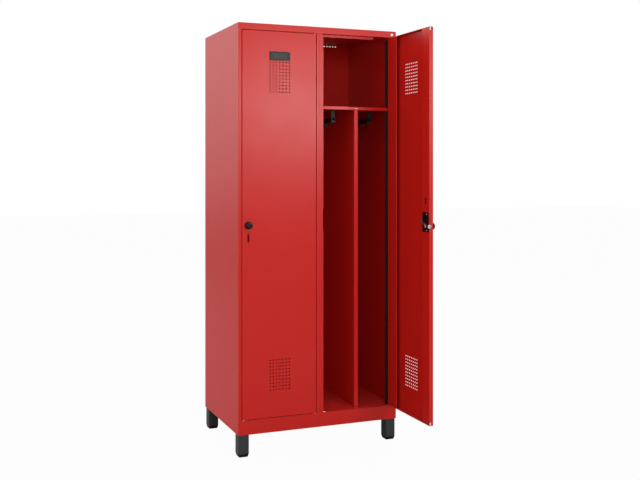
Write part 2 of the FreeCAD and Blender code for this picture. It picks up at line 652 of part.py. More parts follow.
def lock_rod(up):
    """Rod that runs from the lock to one end of the door, with a lug beside the disc."""
    way = 1 if up else -1
    start = KNOB_Z + way * ROD_START
    tip = DOOR_Z[1] - ROD_SHORT if up else DOOR_Z[0] + ROD_SHORT
    lug_z = sorted((start, start + way * LUG_HEIGHT))
    return fuse([
        upright_bar(ROD_RADIUS, (ROD_X, ROD_Y), sorted((start, tip))),
        box((ROD_X, KNOB_X), (ROD_Y - ROD_RADIUS, ROD_Y - DISC_GAP), lug_z),
    ])


def latch_bolt():
    """Round side bolt that enters the stile."""
    tip = DOOR_X[0] - BOLT_PROUD
    return bar(BOLT_RADIUS, (tip, BOLT_Y, KNOB_Z), (tip + BOLT_LENGTH, BOLT_Y, KNOB_Z))


def build_doors():
    """Both doors with their locks, and the pieces of the frame that carry them."""
    holder, card = card_holder()
    parts = {
        "door_skin": door_skin(), "hinge_channel": hinge_channel(), "lock_channel": lock_channel(),
        "hinge_pins": hinge_pins(), "card_holder": holder, "name_card": card,
        "lock_case": lock_case(), "lock_screws": lock_screws(), "rod_guides": rod_guides(),
        "knob": knob(), "knob_spindle": knob_spindle(), "lock_cam": lock_cam(),
        "upper_rod": lock_rod(True), "lower_rod": lock_rod(False), "latch_bolt": latch_bolt(),
    }
    for unit, side in enumerate(SIDES):
        for name, shape in parts.items():
            add(side + "_" + name, shape, unit, door=unit)
        add("hinge_brackets", hinge_brackets(), unit)
        z = (SILL_Z, DOOR_Z[0] - RUNNING)
        ring = upright_bar(PIVOT_RADIUS + WASHER_RIM, PIVOT, z)
        add("hinge_washers", ring.cut(upright_bar(PIVOT_RADIUS + RUNNING, PIVOT, past(*z))), unit)
    radius, height = HEAD_SCREW
    screw_z = HEAD_Z + HEAD / 2 - HEAD_SCREW_DROP
    add("hinge_screw", level_bar(radius, (PIVOT[0], screw_z), (-height, 0)), unit=1)


# ---------------------------------------------------------------- legs

def leg_centres():
    """Middle of each leg in plan: front left, front right, rear left, rear right."""
    inset = LEG_INSET + LEG_SIZE / 2
    return [(x, y) for y in (inset, BODY_DEPTH - inset) for x in (inset, BODY_WIDTH - inset)]


def prism(x, y, z, size, radius):
    """Upright rounded square bar about a centre; z is (low, high)."""
    face = Part.Face(rounded_square(x, y, z[0], size, radius))
    return face.extrude(FreeCAD.Vector(0, 0, z[1] - z[0]))


def leg(x, y):
    """Square tube with a plate welded on its top."""
    plate_z = (BASE - LEG_PLATE, BASE)
    tube_z = (FOOT_HEIGHT, BASE - LEG_PLATE)
    tube = prism(x, y, tube_z, LEG_SIZE, LEG_ROUND)
    bore = prism(x, y, (tube_z[0] - PAST, tube_z[1]), LEG_SIZE - 2 * LEG_WALL, LEG_ROUND - LEG_WALL)
    shape = fuse([tube.cut(bore), prism(x, y, plate_z, LEG_SIZE, LEG_ROUND)])
    return shape.cut(upright_bar(LEG_BOLT[0], (x, y), past(*plate_z)))


def foot_cap(x, y):
    """Tapered plastic foot with a plug inside the tube."""
    wires = [rounded_square(x, y, 0, LEG_SIZE - 2 * FOOT_TAPER, FOOT_ROUND),
             rounded_square(x, y, FOOT_HEIGHT, LEG_SIZE, LEG_ROUND)]
    taper = Part.makeLoft(wires, True, True)
    bore = LEG_SIZE - 2 * LEG_WALL - 2 * PLUG_CLEAR
    plug = prism(x, y, (FOOT_HEIGHT, FOOT_HEIGHT + PLUG_HEIGHT), bore, LEG_ROUND - LEG_WALL)
    return fuse([taper, plug])


def leg_bolt(x, y):
    """Hexagon bolt up through the leg plate and the base frame, with its nut."""
    shank, half, height = LEG_BOLT
    corners = [FreeCAD.Vector(x + half * math.cos(math.radians(a)), y + half * math.sin(math.radians(a)), 0)
               for a in range(0, 361, 60)]
    hexagon = Part.Face(Part.makePolygon(corners)).extrude(FreeCAD.Vector(0, 0, height))
    low, high = BASE - LEG_PLATE, BASE + BASE_PLATE
    return fuse([
        upright_bar(shank, (x, y), (low - height, high + height + LEG_BOLT_END)),
        moved(hexagon, z=low - height),
        moved(hexagon, z=high),
    ])


def build_legs():
    """Four legs with their feet and bolts."""
    names = ("front_left_leg", "front_right_leg", "rear_left_leg", "rear_right_leg")
    for name, (x, y) in zip(names, leg_centres()):
        add(name, leg(x, y))
        add("foot_caps", foot_cap(x, y))
        add("leg_bolts", leg_bolt(x, y))


def save():
    """Write each node to its own file."""
    os.makedirs("parts", exist_ok=True)
    for name, solids in pieces.items():
        shape = solids[0] if len(solids) == 1 else Part.makeCompound(solids)
        shape.exportStep("parts/" + name + ".step")
    print(len(pieces), "nodes,", sum(len(solids) for solids in pieces.values()), "solids")


build_body()
build_inside()
build_doors()
build_legs()
save()
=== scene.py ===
"""Two-door steel cloakroom locker: finished pieces, finishes, studio and camera round the frame."""

import json
import logging
import math
from contextlib import contextmanager
from dataclasses import dataclass
from enum import Enum
from typing import Callable, Iterator, Sequence

import bmesh
import bpy
from mathutils import Matrix, Vector


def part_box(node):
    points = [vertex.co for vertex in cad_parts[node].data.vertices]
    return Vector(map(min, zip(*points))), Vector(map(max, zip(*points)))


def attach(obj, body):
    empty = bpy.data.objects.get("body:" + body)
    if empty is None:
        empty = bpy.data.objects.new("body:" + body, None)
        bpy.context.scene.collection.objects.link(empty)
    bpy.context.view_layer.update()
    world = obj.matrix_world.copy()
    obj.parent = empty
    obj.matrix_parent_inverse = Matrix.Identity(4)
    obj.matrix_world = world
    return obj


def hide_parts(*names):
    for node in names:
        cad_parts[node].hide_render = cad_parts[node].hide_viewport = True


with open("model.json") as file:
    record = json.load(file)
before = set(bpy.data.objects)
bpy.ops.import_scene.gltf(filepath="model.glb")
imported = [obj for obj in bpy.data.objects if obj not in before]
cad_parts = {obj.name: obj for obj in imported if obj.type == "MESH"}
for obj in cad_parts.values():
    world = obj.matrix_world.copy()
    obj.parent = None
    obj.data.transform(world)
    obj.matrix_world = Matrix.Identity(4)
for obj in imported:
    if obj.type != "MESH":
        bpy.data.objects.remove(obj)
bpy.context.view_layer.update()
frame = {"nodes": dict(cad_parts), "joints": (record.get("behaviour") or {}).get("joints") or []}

MM = 0.001
CLOSE = 0.02 * MM
SIDES = ("left", "right")

Pair = tuple[float, float]
Colour = tuple[float, float, float]

logging.basicConfig(level=logging.INFO, format="%(levelname)s %(message)s")
log = logging.getLogger("locker")


class Slot(Enum):
    """Material slots of the record."""

    RED = "red_powder_coat"
    ANTHRACITE = "anthracite_coat"
    BLACK_COAT = "black_coat"
    BLACK_PLASTIC = "black_plastic"
    ZINC = "zinc_steel"
    WHITE_PLASTIC = "white_plastic"
    RUBBER = "black_rubber"
    CARD = "grey_card"


class Axis(Enum):
    """Direction that a folded sheet runs in, with the two axes that its outline is drawn in."""

    X = (0, 1, 2)
    Y = (1, 0, 2)
    Z = (2, 0, 1)

    def point(self, along: float, a: float, b: float) -> Vector:
        """Place in the frame of an outline point (a, b) at a station along the run."""
        place = Vector((0.0, 0.0, 0.0))
        run, first, second = self.value
        place[run], place[first], place[second] = along, a, b
        return place


def near(a: float, b: float) -> bool:
    """Whether two lengths are the same to within a hair."""
    return abs(a - b) < CLOSE


def along_y(start: Vector, end: Vector) -> bool:
    """Whether an edge runs along Y."""
    return near(start.x, end.x) and near(start.z, end.z)


def along_z(start: Vector, end: Vector) -> bool:
    """Whether an edge runs along Z."""
    return near(start.x, end.x) and near(start.y, end.y)


def spans(low: Vector, high: Vector) -> tuple[Pair, Pair, Pair]:
    """Low and high end of a box along X, Y and Z."""
    return (low.x, high.x), (low.y, high.y), (low.z, high.z)


def about(centre: float, size: float) -> Pair:
    """(low, high) pair of a size about a centre."""
    return (centre - size / 2, centre + size / 2)


# ------------------------------------------------------------------ modelling bench


class Bench:
    """Modelling moves that every sub-assembly uses, each leaving Blender in object mode."""

    @staticmethod
    def take(piece: bpy.types.Object) -> None:
        """Select one piece alone and make it active."""
        bpy.ops.object.select_all(action="DESELECT")
        piece.select_set(True)
        bpy.context.view_layer.objects.active = piece

    @staticmethod
    def settle(name: str) -> bpy.types.Object:
        """Name the new active piece and put its place, turn and size into its mesh.

        Args:
            name: The piece's name.

        Returns:
            The piece, standing at the origin.
        """
        piece = bpy.context.active_object
        piece.name = name
        piece.data.name = name
        bpy.ops.object.transform_apply(location=True, rotation=True, scale=True)
        return piece

    @staticmethod
    def block(name: str, x: Pair, y: Pair, z: Pair) -> bpy.types.Object:
        """Add a block between three (low, high) pairs.

        Args:
            name: The piece's name.
            x: Low and high end along X.
            y: Low and high end along Y.
            z: Low and high end along Z.

        Returns:
            The new piece.
        """
        bpy.ops.object.select_all(action="DESELECT")
        low, high = Vector((x[0], y[0], z[0])), Vector((x[1], y[1], z[1]))
        bpy.ops.mesh.primitive_cube_add(size=1.0, location=(low + high) / 2, scale=high - low)
        return Bench.settle(name)

    @staticmethod
    def bar(name: str, radius: float, start: Vector, end: Vector, sides: int = 32) -> bpy.types.Object:
        """Add a round bar between two points.

        Args:
            name: The piece's name.
            radius: Radius of the bar.
            start: Middle of one end.
            end: Middle of the other end.
            sides: Number of flats round it.

        Returns:
            The new piece.
        """
        bpy.ops.object.select_all(action="DESELECT")
        run = Vector(end) - Vector(start)
        bpy.ops.mesh.primitive_cylinder_add(
            vertices=sides, radius=radius, depth=run.length, location=(Vector(start) + Vector(end)) / 2,
            rotation=run.to_track_quat("Z", "Y").to_euler())
        return Bench.settle(name)

    @staticmethod
    @contextmanager
    def editing(piece: bpy.types.Object) -> Iterator[None]:
        """Edit mode on one piece, with nothing selected.

        Args:
            piece: The piece to edit.
        """
        Bench.take(piece)
        bpy.ops.object.mode_set(mode="EDIT")
        bpy.ops.mesh.select_all(action="DESELECT")
        yield
        bpy.ops.object.mode_set(mode="OBJECT")

    @staticmethod
    def pick_faces(piece: bpy.types.Object, wanted: Callable[[Vector, Vector], bool]) -> None:
        """Select faces in edit mode.

        Args:
            piece: The piece in edit mode.
            wanted: Takes a face's middle and normal, and says whether to select it.
        """
        bpy.ops.mesh.select_mode(type="FACE")
        mesh = bmesh.from_edit_mesh(piece.data)
        mesh.normal_update()
        for face in mesh.faces:
            face.select_set(wanted(face.calc_center_median(), face.normal))
        bmesh.update_edit_mesh(piece.data)

    @staticmethod
    def pick_edges(piece: bpy.types.Object, wanted: Callable[[Vector, Vector], bool]) -> None:
        """Select edges in edit mode.

        Args:
            piece: The piece in edit mode.
            wanted: Takes an edge's two ends, and says whether to select it.
        """
        bpy.ops.mesh.select_mode(type="EDGE")
        mesh = bmesh.from_edit_mesh(piece.data)
        chosen = [edge for edge in mesh.edges if wanted(edge.verts[0].co, edge.verts[1].co)]
        for edge in chosen:
            edge.select_set(True)
        bmesh.update_edit_mesh(piece.data)

    @staticmethod
    def round_edges(piece: bpy.types.Object, radius: float, wanted: Callable[[Vector, Vector], bool],
                    segments: int = 3) -> bpy.types.Object:
        """Round chosen edges.

        Args:
            piece: The piece.
            radius: Size of the rounding.
            wanted: Takes an edge's two ends, and says whether to round it.
            segments: Flats across the rounding.

        Returns:
            The same piece.
        """
        with Bench.editing(piece):
            Bench.pick_edges(piece, wanted)
            bpy.ops.mesh.bevel(offset=radius, segments=segments, affect="EDGES", profile=0.5)
        return piece

    @staticmethod
    def soften(piece: bpy.types.Object, radius: float, segments: int = 2,
               angle: float = 40.0) -> bpy.types.Object:
        """Round every sharp edge with a bevel modifier.

        Args:
            piece: The piece.
            radius: Size of the rounding.
            segments: Flats across the rounding.
            angle: Edges that turn by more than this many degrees are rounded.

        Returns:
            The same piece.
        """
        return Bench.modify(piece, "BEVEL", width=radius, segments=segments, limit_method="ANGLE",
                            angle_limit=math.radians(angle), use_clamp_overlap=True)

    @staticmethod
    def modify(piece: bpy.types.Object, kind: str, **settings: object) -> bpy.types.Object:
        """Add a modifier and apply it.

        Args:
            piece: The piece.
            kind: Blender's name for the modifier.
            **settings: Its settings.

        Returns:
            The same piece.
        """
        Bench.take(piece)
        modifier = piece.modifiers.new(kind.lower(), kind)
        for key, value in settings.items():
            setattr(modifier, key, value)
        bpy.ops.object.modifier_apply(modifier=modifier.name)
        return piece

    @staticmethod
    def join(name: str, parts: Sequence[bpy.types.Object]) -> bpy.types.Object:
        """Join pieces into one.

        Args:
            name: The joined piece's name.
            parts: The pieces, of which the first is kept.

        Returns:
            The joined piece.
        """
        Bench.take(parts[0])
        for part in parts[1:]:
            part.select_set(True)
        if len(parts) > 1:
            bpy.ops.object.join()
        parts[0].name = name
        parts[0].data.name = name
        return parts[0]

    @staticmethod
    def cut(piece: bpy.types.Object, cutters: Sequence[bpy.types.Object]) -> bpy.types.Object:
        """Cut cutters out of a piece, and clear them away.

        Args:
            piece: The piece.
            cutters: Closed pieces that don't overlap each other.

        Returns:
            The same piece.
        """
        tool = Bench.join("cutter", list(cutters))
        Bench.modify(piece, "BOOLEAN", operation="DIFFERENCE", solver="EXACT", object=tool)
        bpy.data.objects.remove(tool, do_unlink=True)
        return piece

    @staticmethod
    def score(piece: bpy.types.Object, x: Sequence[float] = (), y: Sequence[float] = (),
              z: Sequence[float] = ()) -> bpy.types.Object:
        """Divide a piece's faces along planes, so that each hole gets a field of its own.

        Args:
            piece: The piece.
            x: Places of the planes across X.
            y: Places of the planes across Y.
            z: Places of the planes across Z.

        Returns:
            The same piece.
        """
        with Bench.editing(piece):
            for normal, levels in (((1, 0, 0), x), ((0, 1, 0), y), ((0, 0, 1), z)):
                for level in levels:
                    bpy.ops.mesh.select_all(action="SELECT")
                    bpy.ops.mesh.bisect(plane_co=Vector(normal) * level, plane_no=normal)
        return piece

    @staticmethod
    def copy(piece: bpy.types.Object, name: str, move: Matrix) -> bpy.types.Object:
        """Copy a piece with its own mesh.

        Args:
            piece: The piece to copy.
            name: The copy's name.
            move: Where the copy goes, from where the piece is.

        Returns:
            The copy.
        """
        Bench.take(piece)
        bpy.ops.object.duplicate(linked=False)
        twin = bpy.context.active_object
        twin.name = name
        twin.data.name = name
        twin.data.transform(move)
        return twin

    @staticmethod
    def smooth(piece: bpy.types.Object, angle: float = 35.0) -> None:
        """Shade a piece smooth across its roundings, and keep its flats flat.

        Args:
            piece: The piece.
            angle: Edges that turn by more than this many degrees stay sharp.
        """
        Bench.take(piece)
        bpy.ops.object.shade_smooth_by_angle(angle=math.radians(angle))
        Bench.modify(piece, "WEIGHTED_NORMAL", mode="FACE_AREA", weight=80, keep_sharp=True)


class FoldedSheet:
    """A sheet that is folded along straight lines, drawn as one open outline and run out along an axis."""

    def __init__(self, name: str, axis: Axis, run: Pair, outline: Sequence[Pair],
                 radii: Sequence[float], body_on_left: bool = True) -> None:
        """Fold the sheet up as a surface with no thickness.

        Args:
            name: The piece's name.
            axis: The axis that it runs along.
            run: Low and high end along that axis.
            outline: Points of the outer face, fold by fold.
            radii: Outside radius of each fold between them.
            body_on_left: Whether the metal lies on the left of the outline's direction.
        """
        self.axis, self.run, self.outline = axis, run, list(outline)
        self.piece = self._first_leg(name)
        with Bench.editing(self.piece):
            for last, point in zip(self.outline[1:], self.outline[2:]):
                self._pick_station(last)
                step = axis.point(0.0, point[0] - last[0], point[1] - last[1])
                bpy.ops.mesh.extrude_region_move(TRANSFORM_OT_translate={"value": step})
                bpy.ops.mesh.select_all(action="DESELECT")
            for corner, radius in zip(self.outline[1:-1], radii):
                self._pick_station(corner)
                bpy.ops.mesh.bevel(offset=radius, segments=3, affect="EDGES", profile=0.5)
                bpy.ops.mesh.select_all(action="DESELECT")
        self._face_outwards(body_on_left)

    def _first_leg(self, name: str) -> bpy.types.Object:
        """Lay the first leg of the outline down as a plane.

        Args:
            name: The piece's name.

        Returns:
            The new piece.
        """
        (a0, b0), (a1, b1) = self.outline[:2]
        middle = self.axis.point(sum(self.run) / 2, (a0 + a1) / 2, (b0 + b1) / 2)
        along = self.axis.point(self.run[1] - self.run[0], 0.0, 0.0)
        across = self.axis.point(0.0, a1 - a0, b1 - b0)
        normal = along.cross(across).normalized()
        turn = Matrix((along.normalized(), across.normalized(), normal)).transposed().to_euler()
        bpy.ops.object.select_all(action="DESELECT")
        bpy.ops.mesh.primitive_plane_add(size=1.0, location=middle, rotation=turn)
        bpy.context.active_object.scale = (along.length, across.length, 1.0)
        return Bench.settle(name)

    def _pick_station(self, point: Pair) -> None:
        """Select the edge that runs along one point of the outline."""
        _, first, second = self.axis.value

        def there(start: Vector, end: Vector) -> bool:
            """Whether both ends lie on the line through the point."""
            return all(near(v[first], point[0]) and near(v[second], point[1]) for v in (start, end))

        Bench.pick_edges(self.piece, there)

    def _face_outwards(self, body_on_left: bool) -> None:
        """Turn every face away from the side that the metal is on.

        Args:
            body_on_left: Whether the metal lies on the left of the outline's direction.
        """
        (a0, b0), (a1, b1) = self.outline[:2]
        side = 1.0 if body_on_left else -1.0
        outward = self.axis.point(0.0, (b1 - b0) * side, (a0 - a1) * side)
        with Bench.editing(self.piece):
            bpy.ops.mesh.select_all(action="SELECT")
            bpy.ops.mesh.normals_make_consistent(inside=False)
            mesh = bmesh.from_edit_mesh(self.piece.data)
            largest = max(
                (face for face in mesh.faces if self._on_first_leg(face.calc_center_median())),
                key=lambda face: face.calc_area())
            if largest.normal.dot(outward) < 0:
                bpy.ops.mesh.flip_normals()

    def _on_first_leg(self, place: Vector) -> bool:
        """Whether a place lies on the straight part of the outline's first leg."""
        _, first, second = self.axis.value
        (a0, b0), (a1, b1) = self.outline[:2]
        reach = Vector((a1 - a0, b1 - b0))
        spot = Vector((place[first] - a0, place[second] - b0))
        share = spot.dot(reach) / reach.length_squared
        return 0.0 < share < 1.0 and (spot - share * reach).length < CLOSE

    def trim(self, x: Pair, y: Pair, z: Pair) -> "FoldedSheet":
        """Cut a stretch of the sheet away.

        Args:
            x: Low and high end of the stretch along X.
            y: Low and high end along Y.
            z: Low and high end along Z.

        Returns:
            The same sheet.
        """
        ranges = (x, y, z)
        with Bench.editing(self.piece):
            for number, span in enumerate(ranges):
                normal = Vector((0.0, 0.0, 0.0))
                normal[number] = 1.0
                for level in span:
                    bpy.ops.mesh.select_all(action="SELECT")
                    bpy.ops.mesh.bisect(plane_co=normal * level, plane_no=normal)
            bpy.ops.mesh.select_all(action="DESELECT")
            Bench.pick_faces(self.piece, lambda place, _: all(
                span[0] < place[number] < span[1] for number, span in enumerate(ranges)))
            bpy.ops.mesh.delete(type="FACE")
        return self

    def thicken(self, sheet: float) -> bpy.types.Object:
        """Give the sheet its wall.

        Args:
            sheet: Thickness of the metal.

        Returns:
            The finished piece.
        """
        with Bench.editing(self.piece):
            bpy.ops.mesh.select_all(action="SELECT")
            bpy.ops.mesh.dissolve_limited(angle_limit=math.radians(1.0))
        return Bench.modify(self.piece, "SOLIDIFY", thickness=sheet, offset=-1.0, use_even_offset=True)


# ------------------------------------------------------------------ finishes


class NodeSheet:
    """A node tree that is filled left to right."""

    def __init__(self, tree: bpy.types.NodeTree) -> None:
        """Start on a tree."""
        self.tree = tree
        self.column = 0

    def add(self, kind: str, **settings: object) -> bpy.types.Node:
        """Add a node.

        Args:
            kind: Blender's type of the node.
            **settings: Attributes to set on it.

        Returns:
            The node.
        """
        node = self.tree.nodes.new(kind)
        node.location = (220 * self.column, 0)
        self.column += 1
        for key, value in settings.items():
            setattr(node, key, value)
        return node

    def link(self, source: bpy.types.NodeSocket, target: bpy.types.NodeSocket) -> None:
        """Join two sockets."""
        self.tree.links.new(source, target)

    def maths(self, operation: str, first: object, second: object,
              clamp: bool = False) -> bpy.types.NodeSocket:
        """Add a sum of two numbers or sockets.

        Args:
            operation: Blender's name for the sum.
            first: A number or a socket.
            second: A number or a socket.
            clamp: Whether the result stays within 0 and 1.

        Returns:
            The result's socket.
        """
        node = self.add("ShaderNodeMath", operation=operation, use_clamp=clamp)
        for socket, value in zip(node.inputs, (first, second)):
            if isinstance(value, bpy.types.NodeSocket):
                self.link(value, socket)
            else:
                socket.default_value = value
        return node.outputs[0]

    def noise(self, vector: bpy.types.NodeSocket, scale: object, detail: float) -> bpy.types.NodeSocket:
        """Add a noise pattern.

        Args:
            vector: Coordinates.
            scale: Patches per metre, a number or a socket.
            detail: Octaves of finer noise.

        Returns:
            The pattern's socket, 0 to 1.
        """
        node = self.add("ShaderNodeTexNoise")
        node.inputs["Detail"].default_value = detail
        self.link(vector, node.inputs["Vector"])
        if isinstance(scale, bpy.types.NodeSocket):
            self.link(scale, node.inputs["Scale"])
        else:
            node.inputs["Scale"].default_value = scale
        return node.outputs["Fac"]

    def blend(self, share: bpy.types.NodeSocket, first: object, second: object) -> bpy.types.NodeSocket:
        """Mix two colours.

        Args:
            share: How much of the second colour, 0 to 1.
            first: A colour or a socket.
            second: A colour or a socket.

        Returns:
            The mixed colour's socket.
        """
        node = self.add("ShaderNodeMix", data_type="RGBA")
        self.link(share, node.inputs[0])
        for socket, value in ((node.inputs[6], first), (node.inputs[7], second)):
            if isinstance(value, bpy.types.NodeSocket):
                self.link(value, socket)
            else:
                socket.default_value = (*value, 1.0)
        return node.outputs[2]


class Effects:
    """Shader node groups that the finishes share, each built once."""

    def __init__(self) -> None:
        """Start with no groups."""
        self._made: dict[str, bpy.types.NodeTree] = {}

    def _begin(self, name: str, inputs: dict[str, str], outputs: dict[str, str]) -> tuple:
        """Open a new group.

        Args:
            name: The group's name.
            inputs: Names of its inputs, with the kind of each.
            outputs: Names of its outputs, with the kind of each.

        Returns:
            Its node sheet, its input node and its output node.
        """
        tree = bpy.data.node_groups.new(name, "ShaderNodeTree")
        for direction, sockets in (("INPUT", inputs), ("OUTPUT", outputs)):
            for socket, kind in sockets.items():
                tree.interface.new_socket(socket, in_out=direction, socket_type="NodeSocket" + kind)
        self._made[name] = tree
        sheet = NodeSheet(tree)
        return sheet, sheet.add("NodeGroupInput"), sheet.add("NodeGroupOutput")

    def grain(self) -> bpy.types.NodeTree:
        """Fine relief with a broad unevenness: grain height and a slow tone from 0 to 1."""
        if "surface_grain" not in self._made:
            sheet, given, out = self._begin(
                "surface_grain", {"Grain": "Float", "Wave": "Float", "Patch": "Float"},
                {"Height": "Float", "Tone": "Float"})
            place = sheet.add("ShaderNodeTexCoord").outputs["Object"]
            fine = sheet.noise(place, given.outputs["Grain"], 2.0)
            wave = sheet.noise(place, given.outputs["Wave"], 1.0)
            patch = sheet.noise(place, given.outputs["Patch"], 2.0)
            waves = sheet.maths("MULTIPLY", wave, 1.6)
            sheet.link(sheet.maths("ADD", sheet.maths("MULTIPLY", fine, 0.4), waves), out.inputs["Height"])
            stretched = sheet.maths("MULTIPLY", sheet.maths("SUBTRACT", patch, 0.3), 2.5, clamp=True)
            sheet.link(stretched, out.inputs["Tone"])
        return self._made["surface_grain"]

    def touch(self) -> bpy.types.NodeTree:
        """Gloss that wanders between two roughnesses, with faint rubbed patches."""
        if "rubbed_gloss" not in self._made:
            sheet, given, out = self._begin(
                "rubbed_gloss", {"Clean": "Float", "Rubbed": "Float", "Patch": "Float"},
                {"Roughness": "Float"})
            place = sheet.add("ShaderNodeTexCoord").outputs["Object"]
            patch = sheet.noise(place, given.outputs["Patch"], 4.0)
            rubbed = sheet.maths("MULTIPLY", sheet.maths("SUBTRACT", patch, 0.35), 3.0, clamp=True)
            reach = sheet.maths("SUBTRACT", given.outputs["Rubbed"], given.outputs["Clean"])
            sheet.link(sheet.maths("ADD", sheet.maths("MULTIPLY", rubbed, reach), given.outputs["Clean"]),
                       out.inputs["Roughness"])
        return self._made["rubbed_gloss"]

    def dust(self) -> bpy.types.NodeTree:
        """Thin pale film on faces that look up."""
        if "settled_dust" not in self._made:
            sheet, given, out = self._begin(
                "settled_dust", {"Colour": "Color", "Amount": "Float"}, {"Colour": "Color"})
            normal = sheet.add("ShaderNodeNewGeometry").outputs["Normal"]
            split = sheet.add("ShaderNodeSeparateXYZ")
            sheet.link(normal, split.inputs[0])
            place = sheet.add("ShaderNodeTexCoord").outputs["Object"]
            cloud = sheet.noise(place, 26.0, 5.0)
            upward = sheet.maths("POWER", sheet.maths("MAXIMUM", split.outputs["Z"], 0.0), 4.0)
            film = sheet.maths("MULTIPLY", sheet.maths("MULTIPLY", upward, cloud), given.outputs["Amount"])
            pale = (0.55, 0.52, 0.48)
            sheet.link(sheet.blend(film, given.outputs["Colour"], pale), out.inputs["Colour"])
        return self._made["settled_dust"]


EFFECTS = Effects()


@dataclass(frozen=True)
class Finish:
    """A surface finish: its two tones, its gloss and its relief.

    The tones and the gloss wander slowly over the surface. Grain and waves make the relief, which is
    in metres.
    """

    slot: Slot
    light: Colour
    deep: Colour
    clean: float
    rubbed: float
    grain: float = 1500.0
    wave: float = 420.0
    patch: float = 3.0
    relief: float = 0.02 * MM
    metallic: float = 0.0
    specular: float = 0.5
    dust: float = 0.05

    def build(self) -> bpy.types.Material:
        """Make the material.

        Returns:
            A material with a node tree of its own.
        """
        material = bpy.data.materials.new(self.slot.value)
        material.use_nodes = True
        material.diffuse_color = (*self.light, 1.0)
        tree = material.node_tree
        tree.nodes.clear()
        sheet = NodeSheet(tree)
        grain = self._group(sheet, EFFECTS.grain(), Grain=self.grain, Wave=self.wave, Patch=self.patch)
        gloss = self._group(sheet, EFFECTS.touch(), Clean=self.clean, Rubbed=self.rubbed,
                            Patch=self.patch * 3.0)
        film = self._group(sheet, EFFECTS.dust(), Amount=self.dust)
        shader = sheet.add("ShaderNodeBsdfPrincipled")
        bump = sheet.add("ShaderNodeBump")
        output = sheet.add("ShaderNodeOutputMaterial")
        sheet.link(self._colour(sheet, grain), film.inputs["Colour"])
        sheet.link(film.outputs["Colour"], shader.inputs["Base Color"])
        sheet.link(gloss.outputs["Roughness"], shader.inputs["Roughness"])
        bump.inputs["Distance"].default_value = self.relief
        sheet.link(grain.outputs["Height"], bump.inputs["Height"])
        sheet.link(bump.outputs["Normal"], shader.inputs["Normal"])
        shader.inputs["Metallic"].default_value = self.metallic
        shader.inputs["Specular IOR Level"].default_value = self.specular
        sheet.link(shader.outputs["BSDF"], output.inputs["Surface"])
        return material

    def _group(self, sheet: NodeSheet, tree: bpy.types.NodeTree, **values: float) -> bpy.types.Node:
        """Place a shared effect with this finish's values.

        Args:
            sheet: The material's node sheet.
            tree: The effect's group.
            **values: Values of its inputs.

        Returns:
            The group node.
        """
        node = sheet.add("ShaderNodeGroup", node_tree=tree)
        for key, value in values.items():
            node.inputs[key].default_value = value
        return node

    def _colour(self, sheet: NodeSheet, grain: bpy.types.Node) -> bpy.types.NodeSocket:
        """Colour of the surface, between its two tones."""
        return sheet.blend(grain.outputs["Tone"], self.light, self.deep)


@dataclass(frozen=True)
class ZincFinish(Finish):
    """Zinc plate: a metal with a faint crystal pattern in its colour."""

    spangle: float = 260.0

    def _colour(self, sheet: NodeSheet, grain: bpy.types.Node) -> bpy.types.NodeSocket:
        """Colour of the plate, varied from crystal to crystal."""
        place = sheet.add("ShaderNodeTexCoord").outputs["Object"]
        crystals = sheet.add("ShaderNodeTexVoronoi")
        crystals.inputs["Scale"].default_value = self.spangle
        sheet.link(place, crystals.inputs["Vector"])
        split = sheet.add("ShaderNodeSeparateColor")
        sheet.link(crystals.outputs["Color"], split.inputs[0])
        share = sheet.maths("MULTIPLY", sheet.maths("ADD", split.outputs[0], grain.outputs["Tone"]), 0.5)
        return sheet.blend(share, self.light, self.deep)


FINISHES: tuple[Finish, ...] = (
    Finish(Slot.RED, (0.590, 0.0130, 0.0085), (0.575, 0.0120, 0.0080), 0.30, 0.325, relief=0.010 * MM,
           specular=0.3),
    Finish(Slot.ANTHRACITE, (0.026, 0.029, 0.033), (0.021, 0.024, 0.027), 0.42, 0.52),
    Finish(Slot.BLACK_COAT, (0.007, 0.007, 0.008), (0.005, 0.005, 0.006), 0.48, 0.58, patch=12.0,
           specular=0.35),
    Finish(Slot.BLACK_PLASTIC, (0.005, 0.005, 0.005), (0.004, 0.004, 0.004), 0.28, 0.38,
           grain=2600.0, wave=900.0, patch=22.0, relief=0.010 * MM, specular=0.25),
    ZincFinish(Slot.ZINC, (0.72, 0.72, 0.73), (0.52, 0.52, 0.54), 0.24, 0.38, patch=30.0,
               relief=0.006 * MM, metallic=1.0, dust=0.0),
    Finish(Slot.WHITE_PLASTIC, (0.78, 0.77, 0.74), (0.70, 0.69, 0.66), 0.34, 0.46, patch=25.0),
    # black rubber, which on the edge trims also stands in for painted shade in the hinge-side rebate
    Finish(Slot.RUBBER, (0.006, 0.006, 0.006), (0.009, 0.008, 0.008), 0.62, 0.78, patch=14.0,
           relief=0.03 * MM, specular=0.25),
    Finish(Slot.CARD, (0.070, 0.070, 0.062), (0.056, 0.056, 0.050), 0.58, 0.72, patch=40.0,
           relief=0.01 * MM, specular=0.3),
)
MATERIALS = {finish.slot: finish.build() for finish in FINISHES}


class Assembly:
    """A sub-assembly, which dresses its own pieces."""

    def dress(self, piece: bpy.types.Object, slot: Slot, body: str, nodes: Sequence[str] = (),
              angle: float = 35.0) -> bpy.types.Object:
        """Give a finished piece its shading, finish and body.

        Args:
            piece: The piece.
            slot: Its finish.
            body: The body that it moves with.
            nodes: The CAD nodes that it stands for.
            angle: Edges that turn by more than this many degrees stay sharp.

        Returns:
            The same piece.
        """
        Bench.smooth(piece, angle)
        piece.data.materials.clear()
        piece.data.materials.append(MATERIALS[slot])
        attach(piece, body)
        if nodes:
            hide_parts(*nodes)
        log.info("%s: %d faces, %s, on %s", piece.name, len(piece.data.polygons), slot.value, body)
        return piece


# ------------------------------------------------------------------ layout


